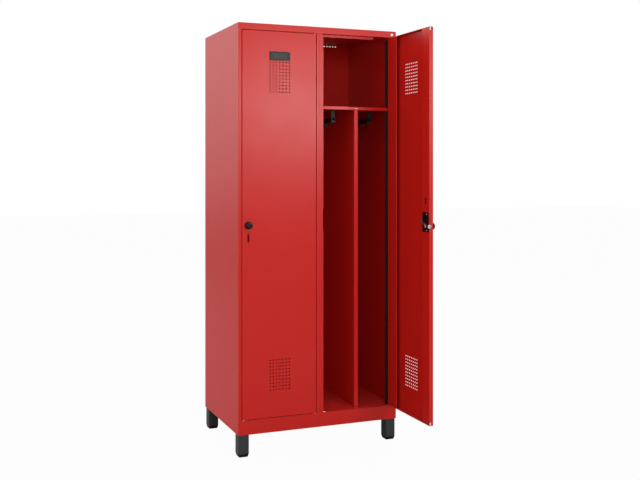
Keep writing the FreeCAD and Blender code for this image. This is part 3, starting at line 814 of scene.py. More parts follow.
@dataclass
class Layout:
    """Places of the locker that every sub-assembly works from, read from the frame."""

    sheet: float = 0.8 * MM
    stile: float = 16.0 * MM
    head: float = 30.0 * MM
    stop_gap: float = 1.0 * MM

    def __post_init__(self) -> None:
        """Read the body, the doors and the joints."""
        self.left, self.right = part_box("left_side_panel")[0].x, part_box("right_side_panel")[1].x
        self.front, self.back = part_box("left_side_panel")[0].y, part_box("back_panel")[1].y
        self.base, self.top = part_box("left_side_panel")[0].z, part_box("left_side_panel")[1].z
        self.middle = (self.left + self.right) / 2
        self.sill_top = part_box("bottom_panel")[1].z
        self.head_low = self.top - self.head
        self.inner_back = self.back - self.sheet
        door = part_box("left_door_skin")
        self.door = ((door[0].x, door[1].x), (door[0].y, door[1].y), (door[0].z, door[1].z))
        self.stop_front = self.door[1][1] + self.stop_gap
        pivots = {joint["name"]: joint for joint in frame["joints"]}
        self.hinge = pivots["left_door"]
        self.other_hinge = pivots["right_door"]

    def unit_shift(self) -> Matrix:
        """From the left compartment to the same place in the right one."""
        return Matrix.Translation((self.middle - self.left, 0.0, 0.0))

    def to_open_door(self) -> Matrix:
        """From the shut left door to the right door where it stands open."""
        shut, stands = Vector(self.hinge["pos_m"]), Vector(self.other_hinge["pos_m"])
        opened = -math.radians(self.other_hinge["range_deg"][0])
        return Matrix.Translation(stands) @ Matrix.Rotation(opened, 4, "Z") @ Matrix.Translation(-shut)


def upright_holes(radius: float, spots: Sequence[Pair], z: Pair, sides: int = 24) -> list[bpy.types.Object]:
    """Round cutters along Z at some places (x, y)."""
    return [Bench.bar("cutter", radius, Vector((x, y, z[0])), Vector((x, y, z[1])), sides) for x, y in spots]


def level_holes(radius: float, spots: Sequence[Pair], y: Pair, sides: int = 24) -> list[bpy.types.Object]:
    """Round cutters along Y at some places (x, z)."""
    return [Bench.bar("cutter", radius, Vector((x, y[0], z)), Vector((x, y[1], z)), sides) for x, z in spots]


# ------------------------------------------------------------------ carcass


@dataclass
class Carcass(Assembly):
    """The welded body: side sheets, centre partitions, roof, floor and back."""

    layout: Layout
    lock_stop: float = 12.0 * MM
    hinge_stop: float = 30.0 * MM
    head_stop: float = 12.0 * MM
    head_stop_cut: float = 94.0 * MM
    corner: float = 0.9 * MM
    fold: float = 1.2 * MM
    seam: float = 0.1 * MM
    vents: int = 16
    vent_pitch: float = 16.4 * MM
    vent_radius: float = 3.0 * MM
    vent_drop: float = 9.0 * MM
    roof_vent_in: float = 16.0 * MM
    pin_hole: float = 3.1 * MM
    rod_hole: float = 5.5 * MM
    lock_room: tuple[float, float] = (29.0 * MM, 67.0 * MM)
    shelf_clear: float = 0.5 * MM

    def build(self) -> None:
        """Build every sheet of the body."""
        self.uprights()
        self.roof()
        self.floor()
        self.rear()

    def uprights(self) -> None:
        """Fold the two side sheets and the two partitions."""
        lay = self.layout
        for name, wall, way, outer, lock in (
                ("left_side_panel", lay.left, 1, True, True),
                ("left_center_partition", lay.middle, -1, False, False),
                ("right_center_partition", lay.middle, 1, False, True),
                ("right_side_panel", lay.right, -1, True, False)):
            piece = self.upright(name, wall, way, outer, lock)
            self.dress(piece, Slot.RED, "root", [name])

    def upright(self, name: str, wall: float, way: int, outer: bool, lock: bool) -> bpy.types.Object:
        """Fold one upright with its stile and stop flange.

        Args:
            name: The piece's name.
            wall: Place of its outer face along X.
            way: 1 if its stile points right, -1 if it points left.
            outer: Whether it is an outside wall.
            lock: Whether it stands on the lock side of its opening.

        Returns:
            The piece.
        """
        lay = self.layout
        stop = self.lock_stop if lock else self.hinge_stop
        edge, end = wall + way * lay.stile, wall + way * (lay.stile + stop)
        run = (lay.base, lay.top) if outer else (lay.sill_top, lay.top - lay.sheet)
        rear = lay.back if outer else lay.inner_back
        outline = [(wall, rear), (wall, lay.front), (edge, lay.front), (edge, lay.stop_front),
                   (end, lay.stop_front)]
        radii = (self.corner, self.fold, self.fold)
        folded = FoldedSheet(name + "_made", Axis.Z, run, outline, radii, way > 0)
        past = sorted((wall + way * (self.corner + self.seam), end + way * lay.sheet))
        deep = (lay.front - lay.sheet, lay.stop_front + lay.sheet)
        folded.trim(past, deep, (lay.head_low, lay.top + lay.sheet))
        if outer:
            folded.trim(past, deep, (lay.base - lay.sheet, lay.sill_top))
        inner = sorted((edge, end + way * lay.sheet))
        flange = (lay.stop_front - lay.sheet, lay.stop_front + lay.sheet)
        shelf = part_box("left_hat_shelf")
        folded.trim(inner, flange, (lay.head_low - self.head_stop, lay.head_low))
        lip = (shelf[0].z - self.shelf_clear, shelf[1].z + self.shelf_clear)
        folded.trim(inner, flange, lip)
        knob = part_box("left_knob_spindle")
        knob_z = (knob[0].z + knob[1].z) / 2
        if lock:
            folded.trim(inner, flange, (knob_z - self.lock_room[0], knob_z + self.lock_room[1]))
        piece = folded.thicken(lay.sheet)
        if lock:
            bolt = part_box("left_latch_bolt")
            radius = (bolt[1].z - bolt[0].z) / 2 + lay.sheet / 2
            centre = (bolt[0].y + bolt[1].y) / 2
            x = sorted((edge - way * 2 * lay.sheet, edge + way * lay.sheet))
            start, finish = Vector((x[0], centre, knob_z)), Vector((x[1], centre, knob_z))
            Bench.cut(piece, [Bench.bar("cutter", radius, start, finish)])
        return piece

    def frame_spots(self) -> tuple[list[Pair], list[Pair]]:
        """Places of the pivot pins and of the lock rods in plan, in both compartments."""
        lay = self.layout
        pin, rod = lay.hinge["pos_m"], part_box("left_rod_guides")
        shift = lay.middle - lay.left
        rod_place = ((rod[0].x + rod[1].x) / 2, (rod[0].y + rod[1].y) / 2)
        pins = [(pin[0] + n * shift, pin[1]) for n in range(2)]
        rods = [(rod_place[0] + n * shift, rod_place[1]) for n in range(2)]
        return pins, rods

    def vent_spots(self) -> list[float]:
        """Places along X of the rear vents of both compartments."""
        lay = self.layout
        unit = lay.middle - lay.left
        first = -(self.vents - 1) / 2
        return [lay.left + unit * (n + 0.5) + (first + i) * self.vent_pitch
                for n in range(2) for i in range(self.vents)]

    def vent_borders(self) -> list[float]:
        """Places along X halfway between the rear vents, and beside the outer ones."""
        return sorted({round(x + way * self.vent_pitch / 2, 6) for x in self.vent_spots() for way in (-1, 1)})

    def roof(self) -> None:
        """Fold the roof with the frame head, its return and the head stops."""
        lay = self.layout
        run = (lay.left + lay.sheet, lay.right - lay.sheet)
        outline = [(lay.inner_back, lay.top), (lay.front, lay.top), (lay.front, lay.head_low),
                   (lay.stop_front, lay.head_low), (lay.stop_front, lay.head_low - self.head_stop)]
        folded = FoldedSheet("top_panel_made", Axis.X, run, outline, (self.fold, self.fold, self.fold))
        unit = lay.middle - lay.left
        flange = (lay.stop_front - lay.sheet, lay.stop_front + 2 * lay.sheet)
        low = (lay.head_low - self.head_stop - lay.sheet, lay.head_low)
        gap = lay.stile + self.head_stop_cut
        for x in ((lay.left, lay.left + lay.stile), (lay.left + unit - gap, lay.left + unit + lay.stile),
                  (lay.right - gap, lay.right)):
            folded.trim(x, flange, low)
        wall = about(lay.middle, 2 * (lay.sheet + self.seam))
        folded.trim(wall, (lay.front + self.fold, lay.stop_front + lay.sheet),
                    (lay.head_low - lay.sheet, lay.head_low + lay.sheet))
        piece = folded.thicken(lay.sheet)
        pins, rods = self.frame_spots()
        level = (lay.head_low - lay.sheet, lay.head_low + 2 * lay.sheet)
        row = lay.inner_back - self.roof_vent_in
        through = (lay.top - 2 * lay.sheet, lay.top + lay.sheet)
        Bench.score(piece, x=self.vent_borders(), y=(row - 2 * self.vent_radius,))
        cutters = upright_holes(self.pin_hole, pins, level) + upright_holes(self.rod_hole, rods, level)
        cutters += upright_holes(self.vent_radius, [(x, row) for x in self.vent_spots()], through, 16)
        self.dress(Bench.cut(piece, cutters), Slot.RED, "root", ["top_panel"])

    def floor(self) -> None:
        """Fold the floor with the frame sill."""
        lay = self.layout
        run = (lay.left + lay.sheet, lay.right - lay.sheet)
        outline = [(lay.inner_back, lay.sill_top), (lay.front, lay.sill_top), (lay.front, lay.base)]
        folded = FoldedSheet("bottom_panel_made", Axis.X, run, outline, (self.fold,))
        piece = folded.thicken(lay.sheet)
        pins, rods = self.frame_spots()
        level = (lay.sill_top - 2 * lay.sheet, lay.sill_top + lay.sheet)
        cutters = upright_holes(self.pin_hole, pins, level) + upright_holes(self.rod_hole, rods, level)
        self.dress(Bench.cut(piece, cutters), Slot.RED, "root", ["bottom_panel"])

    def rear(self) -> None:
        """Cut the back sheet with its row of vents."""
        lay = self.layout
        piece = Bench.block("back_panel_made", (lay.left + lay.sheet, lay.right - lay.sheet),
                            (lay.inner_back, lay.back), (lay.base, lay.top))
        spots = [(x, lay.top - self.vent_drop) for x in self.vent_spots()]
        Bench.score(piece, x=self.vent_borders(), z=(lay.top - 2 * self.vent_drop,))
        cutters = level_holes(self.vent_radius, spots, (lay.inner_back - lay.sheet, lay.back + lay.sheet), 16)
        self.dress(Bench.cut(piece, cutters), Slot.RED, "root", ["back_panel"])


# ------------------------------------------------------------------ fixings


@dataclass
class Screw:
    """A pan-head screw with a cross recess."""

    radius: float
    height: float
    recess: float = 0.55
    slot: float = 0.16

    def build(self, name: str, place: Vector, out: Vector) -> bpy.types.Object:
        """Make the head of one screw.

        Args:
            name: The piece's name.
            place: Middle of the face that it sits on.
            out: Direction that the head stands out in.

        Returns:
            The piece.
        """
        tip = place + out * self.height
        head = Bench.bar(name, self.radius, place, tip, 32)

        def on_rim(start: Vector, end: Vector) -> bool:
            """Whether an edge lies round the outer face."""
            return all(abs((v - tip).dot(out)) < CLOSE for v in (start, end))

        Bench.round_edges(head, self.height * 0.45, on_rim, 3)
        deep, long, wide = self.height * 0.6, self.radius * self.recess, self.radius * self.slot
        across = out.orthogonal().normalized()
        up = out.cross(across)
        cross = []
        for one, other in ((long, wide), (wide, long)):
            size = [abs(across[i]) * one + abs(up[i]) * other + abs(out[i]) * deep for i in range(3)]
            spans = [(tip[i] - size[i], tip[i] + size[i]) for i in range(3)]
            cross.append(Bench.block("cutter", *spans))
        Bench.cut(head, cross[:1])
        return Bench.cut(head, cross[1:])


# ------------------------------------------------------------------ inside


@dataclass
class Interior(Assembly):
    """What hangs in each compartment: shelf, divider, coat rails with hooks, and edge trims."""

    layout: Layout
    lip: float = 15.0 * MM
    lip_clear: float = 0.5 * MM
    fold: float = 1.4 * MM
    divider_fold: float = 15.0 * MM
    rail: tuple[float, float] = (20.0 * MM, 22.0 * MM)
    rail_offset: float = 97.0 * MM
    stem: float = 6.0 * MM
    pad: tuple[float, float] = (30.0 * MM, 2.0 * MM)
    hooks: int = 3
    hook_first: float = 0.7
    hook_wire: float = 3.0 * MM
    hook_bend: float = 11.0 * MM
    saddle: tuple[float, float] = (2.0 * MM, 12.0 * MM)
    hook_drop: float = 6.0 * MM
    trim_width: float = 16.5 * MM
    trim_over: float = 1.5 * MM

    def build(self) -> None:
        """Build the fittings of the left compartment and copy them to the right."""
        lay = self.layout
        self.dress_pair(self.shelf(), "hat_shelf", Slot.RED)
        self.dress_pair(self.divider(), "divider", Slot.RED)
        self.dress_pair(self.rails(), "coat_rails", Slot.BLACK_COAT)
        self.dress_pair(self.all_hooks(), "coat_hooks", Slot.BLACK_COAT)
        # the black edge trims also stand in for painted shade in the hinge-side rebate
        for part, node, slot in ((self.rebate_shade_trims(), "edge_trims", Slot.RUBBER),
                                 (self.rivets(), "shelf_rivets", Slot.ZINC),
                                 (self.screws(), "rail_screws", Slot.ZINC)):
            twin = Bench.copy(part, node + "_copy", lay.unit_shift())
            self.dress(Bench.join(node + "_set", [part, twin]), slot, "root", [node])

    def dress_pair(self, piece: bpy.types.Object, node: str, slot: Slot) -> None:
        """Copy a left piece to the right compartment and dress both.

        Args:
            piece: The left piece.
            node: Name of its CAD node without the side.
            slot: Its finish.
        """
        twin = Bench.copy(piece, "right_" + node + "_made", self.layout.unit_shift())
        for side, part in zip(SIDES, (piece, twin)):
            part.name = side + "_" + node + "_made"
            self.dress(part, slot, "root", [side + "_" + node])

    def shelf(self) -> bpy.types.Object:
        """Fold the hat shelf with its front lip."""
        lay = self.layout
        low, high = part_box("left_hat_shelf")
        outline = [(high.y, high.z), (lay.stop_front, high.z), (lay.stop_front, low.z),
                   (lay.stop_front + self.lip, low.z)]
        folded = FoldedSheet("left_hat_shelf_made", Axis.X, (low.x, high.x), outline, (self.fold, self.fold))
        inset = lay.stile + self.lip_clear
        behind = lay.stop_front + lay.sheet + self.lip_clear
        depth = (lay.stop_front - lay.sheet, behind)
        tall = (low.z - lay.sheet, high.z + lay.sheet)
        folded.trim((lay.left, lay.left + inset), depth, tall)
        folded.trim((lay.middle - inset, lay.middle), depth, tall)
        under = (low.z - lay.sheet, high.z - 2 * lay.sheet)
        deep = (behind - lay.sheet, behind + self.lip)
        folded.trim((lay.left, lay.left + inset), deep, under)
        folded.trim((lay.middle - inset, lay.middle), deep, under)
        return folded.thicken(lay.sheet)

    def divider(self) -> bpy.types.Object:
        """Fold the divider: a sheet with a boxed front edge."""
        lay = self.layout
        low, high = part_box("left_divider")
        centre = (low.x + high.x) / 2
        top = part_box("left_hat_shelf")[0].z
        fold = low.y + self.divider_fold
        half = lay.sheet / 2
        outline = [(centre - half, high.y), (centre - half, fold), (low.x, fold), (low.x, low.y),
                   (high.x, low.y), (high.x, fold), (centre + half + 0.1 * MM, fold)]
        radii = (0.9 * MM, 1.8 * MM, 1.8 * MM, 1.8 * MM, 1.8 * MM)
        folded = FoldedSheet("left_divider_made", Axis.Z, (low.z, high.z), outline, radii)
        behind = lay.stop_front + self.lip + lay.sheet
        folded.trim((low.x - MM, high.x + MM), (low.y - MM, behind), (top, high.z + MM))
        return folded.thicken(lay.sheet)

    def rails(self) -> bpy.types.Object:
        """Model one coat rail and copy it to the other half of the compartment."""
        low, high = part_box("left_coat_rails")
        centre = (low.x + high.x) / 2
        x = about(centre - self.rail_offset, self.rail[0])
        tube = Bench.block("left_coat_rails_made", x, (low.y, high.y), (low.z, low.z + self.rail[1]))
        Bench.round_edges(tube, 3.0 * MM, along_y, 4)
        parts = [tube]
        for end, way in ((low.y, 1), (high.y, -1)):
            stem_y = sorted((end, end + way * self.stem))
            stem = Bench.block("stem", x, stem_y, (low.z + self.rail[1] / 2, high.z))
            parts.append(Bench.round_edges(stem, 1.5 * MM, along_z, 3))
            pad_y = sorted((end, end + way * self.pad[0]))
            pad = Bench.block("pad", x, pad_y, (high.z - self.pad[1], high.z))
            parts.append(Bench.round_edges(pad, 4.0 * MM, along_z, 4))
        rail = Bench.soften(Bench.join("left_coat_rails_made", parts), 0.4 * MM)
        twin = Bench.copy(rail, "twin", Matrix.Translation((2 * self.rail_offset, 0.0, 0.0)))
        return Bench.join("left_coat_rails_made", [rail, twin])

    def hook(self, x: float, y: float, top: float) -> bpy.types.Object:
        """Model one double hook on its saddle.

        Args:
            x: Middle of the rail.
            y: Middle of the hook along the rail.
            top: Top of the rail.

        Returns:
            The hook.
        """
        wall, length = self.saddle
        z = (top - self.rail[1], top)
        low = z[0] - wall - self.hook_drop
        saddle = Bench.block("saddle", about(x, self.rail[0] + 2 * wall), about(y, length),
                             (z[0] - wall, z[1] + wall))
        Bench.cut(saddle, [Bench.block("cutter", about(x, self.rail[0]), about(y, 2 * length), z)])
        Bench.soften(saddle, 0.6 * MM)
        stem = Bench.bar("stem", self.hook_wire, Vector((x, y, z[0] - wall / 2)), Vector((x, y, low)), 16)
        parts = [saddle, stem]
        for side in (-1, 1):
            bpy.ops.object.select_all(action="DESELECT")
            bpy.ops.mesh.primitive_circle_add(vertices=16, radius=self.hook_wire, fill_type="NGON",
                                              location=(x, y, low))
            wire = Bench.settle("wire")
            centre = (x + side * self.hook_bend, y, low)
            with Bench.editing(wire):
                bpy.ops.mesh.select_all(action="SELECT")
                bpy.ops.mesh.spin(steps=12, angle=side * math.pi, center=centre, axis=(0, 1, 0))
                bpy.ops.mesh.select_all(action="SELECT")
                bpy.ops.mesh.remove_doubles(threshold=CLOSE)
                bpy.ops.mesh.normals_make_consistent(inside=False)
            tip = Vector((x + side * 2 * self.hook_bend, y, low))
            bpy.ops.object.select_all(action="DESELECT")
            bpy.ops.mesh.primitive_uv_sphere_add(segments=16, ring_count=10, radius=self.hook_wire * 1.15,
                                                 location=tip)
            parts += [wire, Bench.settle("tip")]
        return Bench.join("hook", parts)

    def all_hooks(self) -> bpy.types.Object:
        """Model one hook and copy it along both rails."""
        low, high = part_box("left_coat_rails")
        centre = (low.x + high.x) / 2
        spacing = (high.y - low.y) / self.hooks
        first_x, first_y = centre - self.rail_offset, low.y + spacing * self.hook_first
        hook = self.hook(first_x, first_y, low.z + self.rail[1])
        hooks = [hook]
        for column in range(2):
            for row in range(self.hooks):
                if column or row:
                    step = Matrix.Translation((column * 2 * self.rail_offset, row * spacing, 0.0))
                    hooks.append(Bench.copy(hook, "hook_copy", step))
        return Bench.join("left_coat_hooks_made", hooks)

    def rebate_shade_trims(self) -> bpy.types.Object:
        """Model the black rubber channels over the hinge-side flange, above and below the shelf; their black
        also stands in for painted shade in the hinge-side rebate.
        """
        lay = self.layout
        low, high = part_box("edge_trims")
        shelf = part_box("left_hat_shelf")
        end = low.x + self.trim_width
        clear = self.lip_clear
        parts = []
        for z in ((low.z, shelf[0].z - clear), (shelf[1].z + clear, high.z)):
            channel = Bench.block("trim", (low.x, end), (low.y, high.y), z)
            flange = ((low.x + self.trim_over, end + MM), (lay.stop_front, lay.stop_front + lay.sheet),
                      (z[0] - MM, z[1] + MM))
            parts.append(Bench.soften(Bench.cut(channel, [Bench.block("cutter", *flange)]), 0.25 * MM))
        return Bench.join("edge_trims_set", parts)

    def rivets(self) -> bpy.types.Object:
        """Model the two rivets in the shelf lip, over the divider."""
        low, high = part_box("shelf_rivets")
        radius = (high.z - low.z) / 2
        z = (low.z + high.z) / 2
        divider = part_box("left_divider")
        heads = []
        for x in (low.x + radius, divider[0].x + divider[1].x - low.x - radius):
            head = Bench.bar("rivet", radius, Vector((x, high.y, z)), Vector((x, low.y, z)), 20)
            heads.append(Bench.round_edges(
                head, (high.y - low.y) * 0.6, lambda a, b: near(a.y, low.y) and near(b.y, low.y), 3))
        return Bench.join("shelf_rivets_set", heads)

    def screws(self) -> bpy.types.Object:
        """Model the screws that hold the rails' pads."""
        low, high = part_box("rail_screws")
        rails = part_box("left_coat_rails")
        centre = (rails[0].x + rails[1].x) / 2
        radius = (low.x - (centre - self.rail_offset)) * -1
        down = Vector((0.0, 0.0, -1.0))
        first = Vector((centre - self.rail_offset, low.y + radius, high.z))
        screw = Screw(radius, high.z - low.z).build("screw", first, down)
        step_y = high.y - low.y - 2 * radius
        screws = [screw]
        for x, y in ((1, 0), (0, 1), (1, 1)):
            move = Matrix.Translation((x * 2 * self.rail_offset, y * step_y, 0.0))
            screws.append(Bench.copy(screw, "screw_copy", move))
        return Bench.join("rail_screws_set", screws)


# ------------------------------------------------------------------ doors


@dataclass
class Door(Assembly):
    """One perforated door leaf, built shut on the left and copied to where the right one stands."""

    layout: Layout
    edge: float = 1.6 * MM
    tight: float = 0.9 * MM
    vent_columns: int = 7
    vent_rows: int = 10
    vent_pitch: tuple[float, float] = (15.8 * MM, 15.0 * MM)
    vent_radius: float = 3.25 * MM
    vent_from_end: float = 192.5 * MM
    spindle_hole: float = 4.6 * MM
    slot_drop: float = 58.0 * MM
    slot_size: tuple[float, float] = (8.5 * MM, 36.0 * MM)
    key_rise: float = 111.0 * MM
    key_size: tuple[float, float] = (10.0 * MM, 27.0 * MM)
    guide_notch: float = 14.0 * MM
    guide_bore: float = 4.1 * MM
    rod_hole: float = 4.4 * MM
    pin_hole: float = 3.0 * MM
    pin_room: float = 12.0 * MM
    joggle: float = 4.0 * MM
    bolt_clear: float = 0.3 * MM
    holder_round: float = 3.0 * MM
    window: tuple[float, float] = (78.0 * MM, 29.0 * MM)

    def __post_init__(self) -> None:
        """Read the lock's axis and the bolt's place."""
        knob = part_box("left_knob")
        self.axis = ((knob[0].x + knob[1].x) / 2, (knob[0].z + knob[1].z) / 2)
        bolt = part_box("left_latch_bolt")
        self.bolt_radius = (bolt[1].z - bolt[0].z) / 2
        self.bolt_y = bolt[0].y + self.bolt_radius
        self.bolt_end = bolt[1].x

    def build(self) -> None:
        """Build the leaf and everything fixed to it."""
        self.dress_pair(self.skin(), "door_skin", Slot.RED)
        self.dress_pair(self.lock_channel(), "lock_channel", Slot.RED)
        self.dress_pair(self.hinge_channel(), "hinge_channel", Slot.RED)
        self.dress_pair(self.card_holder(), "card_holder", Slot.BLACK_PLASTIC)
        self.dress_pair(self.card(), "name_card", Slot.CARD)
        self.dress_pair(self.guides(), "rod_guides", Slot.WHITE_PLASTIC)

    def dress_pair(self, piece: bpy.types.Object, node: str, slot: Slot, body: str = "door") -> None:
        """Copy a piece of the shut left door to the open right one and dress both.

        Args:
            piece: The left piece.
            node: Name of its CAD node without the side.
            slot: Its finish.
            body: Name of its body without the side.
        """
        twin = Bench.copy(piece, "right_" + node + "_made", self.layout.to_open_door())
        for side, part in zip(SIDES, (piece, twin)):
            part.name = side + "_" + node + "_made"
            self.dress(part, slot, side + "_" + body, [side + "_" + node])

    def vent_spots(self) -> list[Pair]:
        """Places (x, z) of the round vents, in a field near each end of the leaf."""
        lay = self.layout
        centre = (lay.left + lay.middle) / 2
        low, high = lay.door[2]
        pitch_x, pitch_z = self.vent_pitch
        spots = []
        for field_z in (low + self.vent_from_end, high - self.vent_from_end - pitch_z):
            for column in range(self.vent_columns):
                for row in range(self.vent_rows):
                    x = centre + (column - (self.vent_columns - 1) / 2) * pitch_x
                    spots.append((x, field_z + (row - (self.vent_rows - 1) / 2) * pitch_z))
        return spots

    def cut_bolt_mouth(self, piece: bpy.types.Object, x: Pair) -> bpy.types.Object:
        """Cut the side bolt's mouth, which is round and open to the inside.

        Args:
            piece: The piece that the bolt goes through.
            x: Low and high end of the mouth along X.

        Returns:
            The same piece.
        """
        radius, z = self.bolt_radius + self.bolt_clear, self.axis[1]
        mouth = Bench.block("cutter", x, about(self.bolt_y, 2 * radius), about(z, 2 * radius))
        deep = self.bolt_y - radius
        Bench.round_edges(mouth, radius * 0.98,
                          lambda a, b: near(a.y, deep) and near(b.y, deep) and near(a.z, b.z), 10)
        return Bench.cut(piece, [mouth])

    def skin(self) -> bpy.types.Object:
        """Fold the outer sheet into a tray and punch its holes."""
        lay = self.layout
        x, y, z = lay.door
        tray = Bench.block("left_door_skin_made", x, y, z)
        with Bench.editing(tray):
            Bench.pick_faces(tray, lambda _, normal: normal.y > 0.5)
            bpy.ops.mesh.delete(type="FACE")
        Bench.round_edges(tray, self.edge, lambda a, b: near(a.y, y[0]) and near(b.y, y[0]), 3)
        Bench.modify(tray, "SOLIDIFY", thickness=lay.sheet, offset=-1.0, use_even_offset=True)
        through = (y[0] - MM, y[0] + lay.sheet + MM)
        knob_x, knob_z = self.axis
        slot_z = knob_z - self.slot_drop
        spots = self.vent_spots()
        borders = [sorted({round(spot[n] + way * self.vent_pitch[n] / 2, 6) for spot in spots
                           for way in (-1, 1)}) for n in range(2)]
        Bench.score(tray, x=borders[0], z=borders[1])
        Bench.cut(tray, level_holes(self.vent_radius, spots, through, 16))
        Bench.cut(tray, level_holes(self.spindle_hole, [self.axis], through))
        slot = Bench.block("cutter", about(knob_x, self.slot_size[0]), through,
                           about(slot_z, self.slot_size[1]))
        Bench.round_edges(slot, self.slot_size[0] * 0.47, along_y, 8)
        Bench.cut(tray, [slot])
        edge = (x[0] - MM, x[0] + lay.sheet + MM)
        self.cut_bolt_mouth(tray, edge)
        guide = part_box("left_rod_guides")
        guide_y = (guide[0].y + guide[1].y) / 2
        notches = [Bench.block("cutter", edge, about(guide_y, self.guide_notch), level) for level in (
            (z[0] + 1.2 * lay.sheet, z[0] + lay.sheet + self.guide_notch),
            (z[1] - lay.sheet - self.guide_notch, z[1] - 1.2 * lay.sheet))]
        Bench.cut(tray, notches)
        rod = ((guide[0].x + guide[1].x) / 2, guide_y)
        pin = (lay.hinge["pos_m"][0], lay.hinge["pos_m"][1])
        for spot, radius in ((rod, self.rod_hole), (pin, self.pin_hole)):
            for level in (z[0], z[1]):
                Bench.cut(tray, upright_holes(radius, [spot], about(level, 4 * lay.sheet)))
        return tray

    def lock_channel(self) -> bpy.types.Object:
        """Fold the inner channel along the free edge, and cut its openings."""
        lay = self.layout
        low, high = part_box("left_lock_channel")
        deep = lay.door[1][0] + lay.sheet
        outline = [(high.x, deep), (high.x, high.y), (low.x, high.y), (low.x, deep)]
        folded = FoldedSheet("left_lock_channel_made", Axis.Z, (low.z, high.z), outline,
                             (self.edge, self.tight))
        for z in ((low.z - MM, low.z + self.guide_notch), (high.z - self.guide_notch, high.z + MM)):
            folded.trim((low.x - lay.sheet, low.x + lay.sheet), (deep - MM, high.y - lay.sheet), z)
        piece = folded.thicken(lay.sheet)
        through = (high.y - lay.sheet - MM, high.y + MM)
        knob_x, knob_z = self.axis
        self.cut_bolt_mouth(piece, (low.x - MM, self.bolt_end + self.bolt_clear))
        key = Bench.block("cutter", about(knob_x, self.key_size[0]), through,
                          about(knob_z + self.key_rise, self.key_size[1]))
        Bench.round_edges(key, 1.5 * MM, along_y, 3)
        Bench.cut(piece, [key])
        return Bench.cut(piece, level_holes(self.spindle_hole, [self.axis], through))

    def hinge_channel(self) -> bpy.types.Object:
        """Fold the inner channel along the hinge edge."""
        lay = self.layout
        low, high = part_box("left_hinge_channel")
        deep = lay.door[1][0] + lay.sheet
        outline = [(high.x, deep), (high.x, high.y), (low.x, high.y), (low.x, high.y - self.joggle)]
        folded = FoldedSheet("left_hinge_channel_made", Axis.Z, (low.z, high.z), outline,
                             (self.tight, self.edge))
        for z in ((low.z - MM, low.z + self.pin_room), (high.z - self.pin_room, high.z + MM)):
            folded.trim((high.x - lay.sheet, high.x + lay.sheet), (deep - MM, high.y - lay.sheet), z)
        return folded.thicken(lay.sheet)

    def card_holder(self) -> bpy.types.Object:
        """Model the card frame: a rounded plate with a bevelled window."""
        low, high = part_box("left_card_holder")
        plate = Bench.block("left_card_holder_made", *spans(low, high))
        Bench.round_edges(plate, self.holder_round, along_y, 5)
        centre = ((low.x + high.x) / 2, (low.z + high.z) / 2)
        window = Bench.block("cutter", about(centre[0], self.window[0]), (low.y - MM, high.y + MM),
                             about(centre[1], self.window[1]))
        Bench.round_edges(window, 1.5 * MM, along_y, 3)
        Bench.cut(plate, [window])
        return Bench.soften(plate, 0.8 * MM, 3)

    def card(self) -> bpy.types.Object:
        """Model the blank card with its two fine ruled grooves."""
        low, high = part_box("left_name_card")
        card = Bench.block("left_name_card_made", *spans(low, high))
        third = (high.z - low.z) / 3
        width = (high.x - low.x) * 0.7
        centre = (low.x + high.x) / 2
        rules = [Bench.block("cutter", about(centre, width), (low.y - MM, low.y + 0.15 * MM),
                             about(low.z + third * n, 0.5 * MM)) for n in (1, 2)]
        return Bench.soften(Bench.cut(card, rules), 0.1 * MM)

    def guides(self) -> bpy.types.Object:
        """Model the plastic bushes that the rods slide in."""
        low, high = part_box("left_rod_guides")
        radius = (high.x - low.x) / 2
        centre = ((low.x + high.x) / 2, (low.y + high.y) / 2)
        length = self.guide_notch
        bushes = []
        for z in ((low.z, low.z + length), (high.z - length, high.z)):
            bush = Bench.bar("bush", radius, Vector((*centre, z[0])), Vector((*centre, z[1])), 32)
            Bench.cut(bush, upright_holes(self.guide_bore, [centre], (z[0] - MM, z[1] + MM)))
            bushes.append(Bench.soften(bush, 0.6 * MM))
        return Bench.join("left_rod_guides_made", bushes)


